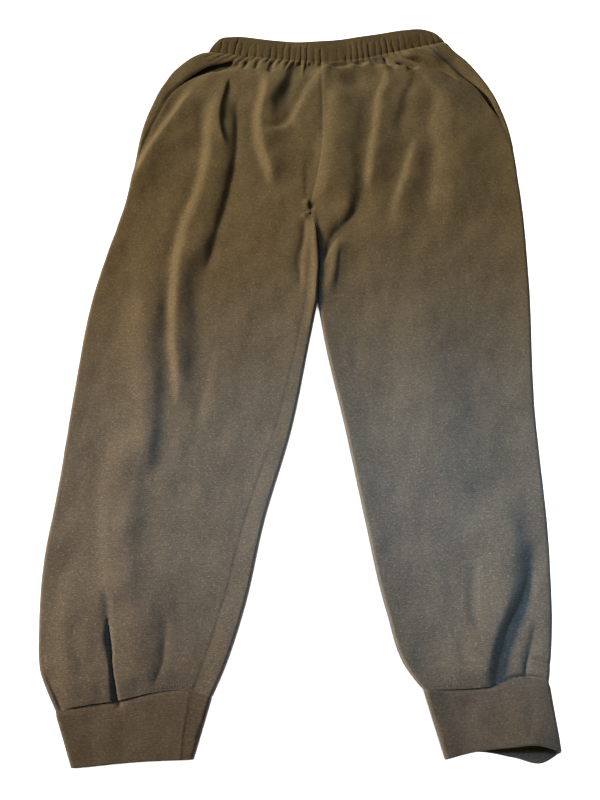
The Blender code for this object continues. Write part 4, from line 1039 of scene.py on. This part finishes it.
up = np.linspace(0.0, 1.0, BAND_ROWS)[:, None]
left_x = mix(BAND_ENDS["seam"][0], BAND_ENDS["top"][0], up)
right_x = mix(BAND_ENDS["seam"][1], BAND_ENDS["top"][1], up)
width = right_x - left_x
turn, mark, across, girth = closed_ring(width, EDGE_RADIUS, BAND_COLUMNS, BAND_ROWS)
share = across / width
top_edge = smooth(BAND_TOP)(mix(*BAND_ENDS["top"], share)) - 0.5 * BAND_CLOTH
seam_y = waist_seam(mix(*BAND_ENDS["seam"], share)) + 0.5 * SEAM_GAP


def waves(share, *terms):
    """The sum of waves along the band, each given as height, waves to a turn, and start."""
    return sum(height * np.sin(pace * share + start) for height, pace, start in terms)


def band_height(across):
    """Height of the band's upper skin, with its grooves."""
    share = across / width
    edges = np.exp(-((across / EDGE_PUFF) ** 2)) + np.exp(-(((width - across) / EDGE_PUFF) ** 2))
    base = mix(WAIST_SEAM_HEIGHT, EDGE_HEIGHT, np.clip(edges, 0, 1)) + BAND_CROWN * np.sin(math.pi * up)
    slants = np.interp(share, GATHER_LINES, np.resize(GROOVE_SLANT, len(GATHER_LINES)))
    wobble = waves(share, (0.0014, 57, 5.0 * up), (-0.0010, 83, -9.0 * up))
    loose = ease(up / 0.3)
    wave = gather_wave(share + loose * (slants * up + wobble), GROOVE_SHARPNESS)
    grooves_end = 0.72 + waves(share, (0.07, 23, 0), (0.10, 61, 1.0), (0.08, 137, 0))
    unevenly = 0.74 + waves(share, (0.26, 19, 0.6), (0.30, 89, 2.2 + 2.5 * up))
    drawn = ease((grooves_end + 0.10 - up) / 0.22) * mix(1.0, unevenly, loose)
    swell = waves(share, (0.0006, 9, 2.0), (0.0005, 31, 0))
    calm = ease(np.minimum(across, width - across) / 0.012)
    return base + calm * (swell * up + GROOVE_DEPTH * drawn * (GROOVE_LIFT + wave))


level = laid_level(turn <= 3, mark, band_height(across), band_height(EDGE_RADIUS + 0 * width),
                   band_height(width - EDGE_RADIUS))
grid = np.stack((left_x + across, mix(seam_y, top_edge, up), level), axis=2)
out = surface_normals(grid, closed=True)
grid = seam_dip(grid, out * (turn <= 3)[..., None], BAND_DIP, BAND_DIP_REACH, ("top",))
inner = grid - BAND_CLOTH * out
on_top = (turn > 1) & (turn < 2)
under_grooves = lowest_nearby(grid[..., 2], 4) - BAND_CLOTH
inner[..., 2] = np.where(on_top, np.minimum(inner[..., 2], under_grooves), inner[..., 2])
piece = add_folded_ring("waistband_casing", grid, out, inner, BAND_CLOTH, 4, girth, 0.041, 1.0, 1)
sew_in(piece, band_fleece, "waistband")


# ---------------------------------------------------------------- sewing thread
# Polyester thread in lock stitches, where they show on the outside: down the centre front and
# above both ankle seams.

THREAD, STITCH_LIFT, STITCH_DRIFT = 0.00045, 0.0001, 0.0004
STITCH_LINES = {  # x and y along the line, spacing, length of a stitch, and whether it lies across
    "centre_front": (((0.0225, 0.405), (0.0250, 0.370), (0.0258, 0.327), (0.0235, 0.272),
                      (0.0170, 0.229), (0.0095, 0.193)), 0.0042, 0.0019, False),
    "ankle_left": (((-0.158, -0.4215), (-0.140, -0.4195), (-0.123, -0.4185), (-0.108, -0.4210)),
                   0.0026, 0.0030, True),
    "ankle_right": (((0.128, -0.4185), (0.142, -0.4165), (0.160, -0.4150)), 0.0030, 0.0016, False),
}

thread, shader, nodes, links = start_material("sewing_thread")
place = nodes.new("ShaderNodeTexCoord")
twist = nodes.new("ShaderNodeTexNoise")
twist.inputs["Scale"].default_value = 900.0
tones = nodes.new("ShaderNodeMix")
tones.data_type = "RGBA"
tones.inputs["A"].default_value = (0.150, 0.130, 0.095, 1)
tones.inputs["B"].default_value = (0.300, 0.275, 0.225, 1)
links.new(place.outputs["Object"], twist.inputs["Vector"])
links.new(twist.outputs["Fac"], tones.inputs["Factor"])
links.new(tones.outputs["Result"], shader.inputs["Base Color"])
shader.inputs["Roughness"].default_value = 0.6
shader.inputs["Sheen Weight"].default_value = 0.1

bpy.ops.object.select_all(action="DESELECT")
bpy.ops.mesh.primitive_uv_sphere_add(segments=8, ring_count=6, radius=0.5)
model_stitch = bpy.context.object
stitch_points = np.array([vertex.co[:] for vertex in model_stitch.data.vertices])
stitch_faces = [tuple(face.vertices) for face in model_stitch.data.polygons]
bpy.data.objects.remove(model_stitch, do_unlink=True)

bpy.context.view_layer.update()
cloths = []
for side, word in HALVES:
    mesh = bpy.data.objects[f"front_{word}_fleece"].data
    corners = [tuple(face.vertices) for face in mesh.polygons]
    cloths.append(BVHTree.FromPolygons([vertex.co for vertex in mesh.vertices], corners))


def upper_skin(x, y):
    """The highest cloth at a place, and its normal."""
    best = None
    for tree in cloths:
        hit, normal, _, _ = tree.ray_cast(Vector((x, y, 0.1)), Vector((0, 0, -1)))
        if hit is not None and (best is None or hit.z > best[0].z):
            best = (hit, normal)
    return best


for name, (line, spacing, length, crosswise) in STITCH_LINES.items():
    line = np.array(line)
    marks = run_along(line)
    curve = [smooth(zip(marks, line[:, k])) for k in (0, 1)]
    points, faces = [], []
    for number, run in enumerate(np.arange(0.5 * spacing, marks[-1], spacing)):
        run = run + STITCH_DRIFT * math.sin(2.3 * number)
        here = Vector([float(curve[k](run)) for k in (0, 1)]) - Vector(FOOTPRINT_MIDDLE[:2])
        ahead = Vector([float(curve[k](run + 0.001) - curve[k](run)) for k in (0, 1)])
        found = upper_skin(here.x, here.y)
        if found is None:
            continue
        hit, normal = found
        along = Vector((-ahead.y, ahead.x, 0) if crosswise else (ahead.x, ahead.y, 0))
        along = (along - normal * along.dot(normal)).normalized()
        beside = normal.cross(along)
        own_length = length * (1 + 0.15 * math.sin(5.1 * number))
        start = len(points)
        for u, v, w in stitch_points:
            raised = hit + normal * (STITCH_LIFT + THREAD * w)
            points.append(raised + along * (own_length * u) + beside * (THREAD * v))
        faces += [tuple(start + corner for corner in face) for face in stitch_faces]
    mesh = bpy.data.meshes.new(f"stitches_{name}")
    mesh.from_pydata(points, [], faces)
    mesh.shade_smooth()
    stitches = put_in(f"stitches_{name}", mesh)
    stitches.data.materials.append(thread)
    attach(stitches, "root")


# ---------------------------------------------------------------- studio
# A plain pale floor and backdrop.  A warm window and a warm lamp stand low beyond the waist on the
# left, and small lights reach the shins and the right hip.  A broad light whitens the floor alone.

floor_paint, shader, *_ = start_material("studio_floor")
shader.inputs["Base Color"].default_value = (0.90, 0.90, 0.90, 1)
shader.inputs["Roughness"].default_value = 0.9
bpy.ops.object.select_all(action="DESELECT")
bpy.ops.mesh.primitive_plane_add(size=8.0, location=(0, 0, -0.0004))
floor = bpy.context.object
floor.name = "studio_floor"
bpy.ops.object.transform_apply(location=True, rotation=True, scale=True)
floor.data.materials.append(floor_paint)

garment = bpy.data.collections.new("garment_lit")
surroundings = bpy.data.collections.new("floor_lit")
surroundings.objects.link(floor)
for obj in bpy.context.scene.objects:
    if obj.type == "MESH" and obj is not floor:
        garment.objects.link(obj)

LIGHTS = {  # place, point aimed at, width, beam in degrees, watts, colour, and what it lights
    "warm_window": ((-2.60, 1.60, 1.27), (0.0, 0.15, 0.0), 0.55, 150, 2.2, (1.0, 0.90, 0.60), garment),
    "warm_lamp": ((-2.20, 0.60, 1.00), (0.05, 0.02, 0.0), 0.50, 60, 10.7, (1.0, 0.73, 0.36), garment),
    "left_lamp": ((-1.60, -0.12, 0.80), (-0.16, -0.31, 0.0), 0.30, 27, 0.53, (1.0, 0.88, 0.86), garment),
    "left_cool": ((0.10, -0.10, 1.40), (-0.13, -0.215, 0.0), 0.30, 20, 0.14, (0.10, 0.52, 1.0), garment),
    "right_cool": ((-0.35, 0.25, 1.40), (0.225, -0.25, 0.0), 0.30, 24, 0.57, (0.345, 0.64, 1.0), garment),
    "hip_light": ((-1.30, 1.20, 0.95), (0.18, 0.34, 0.0), 0.30, 22, 0.24, (1.0, 0.99, 0.65), garment),
    "floor_light": ((0.0, 0.0, 12.0), (0.0, 0.0, 0.0), 12.0, 180, 3750.0, (1.0, 1.0, 1.0), surroundings),
}
for name, (place, aim, size, beam, power, colour, lit) in LIGHTS.items():
    light = bpy.data.lights.new(name, "AREA")
    light.shape, light.size, light.energy, light.color = "SQUARE", size, power, colour
    light.spread = math.radians(beam)
    lamp = put_in(name, light)
    lamp.location = place
    lamp.rotation_euler = (Vector(aim) - Vector(place)).to_track_quat("-Z", "Y").to_euler()
    lamp.light_linking.receiver_collection = lit

world = bpy.data.worlds.new("studio_room")
bpy.context.scene.world = world
world.use_nodes = True
nodes, links = world.node_tree.nodes, world.node_tree.links
nodes["Background"].inputs["Color"].default_value = (1.0, 0.85, 0.60, 1)
nodes["Background"].inputs["Strength"].default_value = 0.075
backdrop, seen, either = (nodes.new(f"ShaderNode{kind}") for kind in ("Background", "LightPath", "MixShader"))
backdrop.inputs["Color"].default_value = (0.85, 0.85, 0.84, 1)
links.new(seen.outputs["Is Camera Ray"], either.inputs["Fac"])
links.new(nodes["Background"].outputs[0], either.inputs[1])
links.new(backdrop.outputs[0], either.inputs[2])
links.new(either.outputs[0], nodes["World Output"].inputs["Surface"])

CAMERA_ELEVATION = math.radians(66)
CAMERA_AIM = Vector((-0.00817, -0.10016, 0.0))
CAMERA_DISTANCE = 0.948
camera_data = bpy.data.cameras.new("camera")
camera_data.lens, camera_data.sensor_width = 36.0, 36.0
camera = put_in("camera", camera_data)
from_aim = Vector((0, -math.cos(CAMERA_ELEVATION), math.sin(CAMERA_ELEVATION)))
camera.location = CAMERA_AIM + CAMERA_DISTANCE * from_aim
camera.rotation_euler = (math.pi / 2 - CAMERA_ELEVATION, 0, 0)
bpy.context.scene.camera = camera
bpy.context.scene.view_settings.view_transform = "Standard"
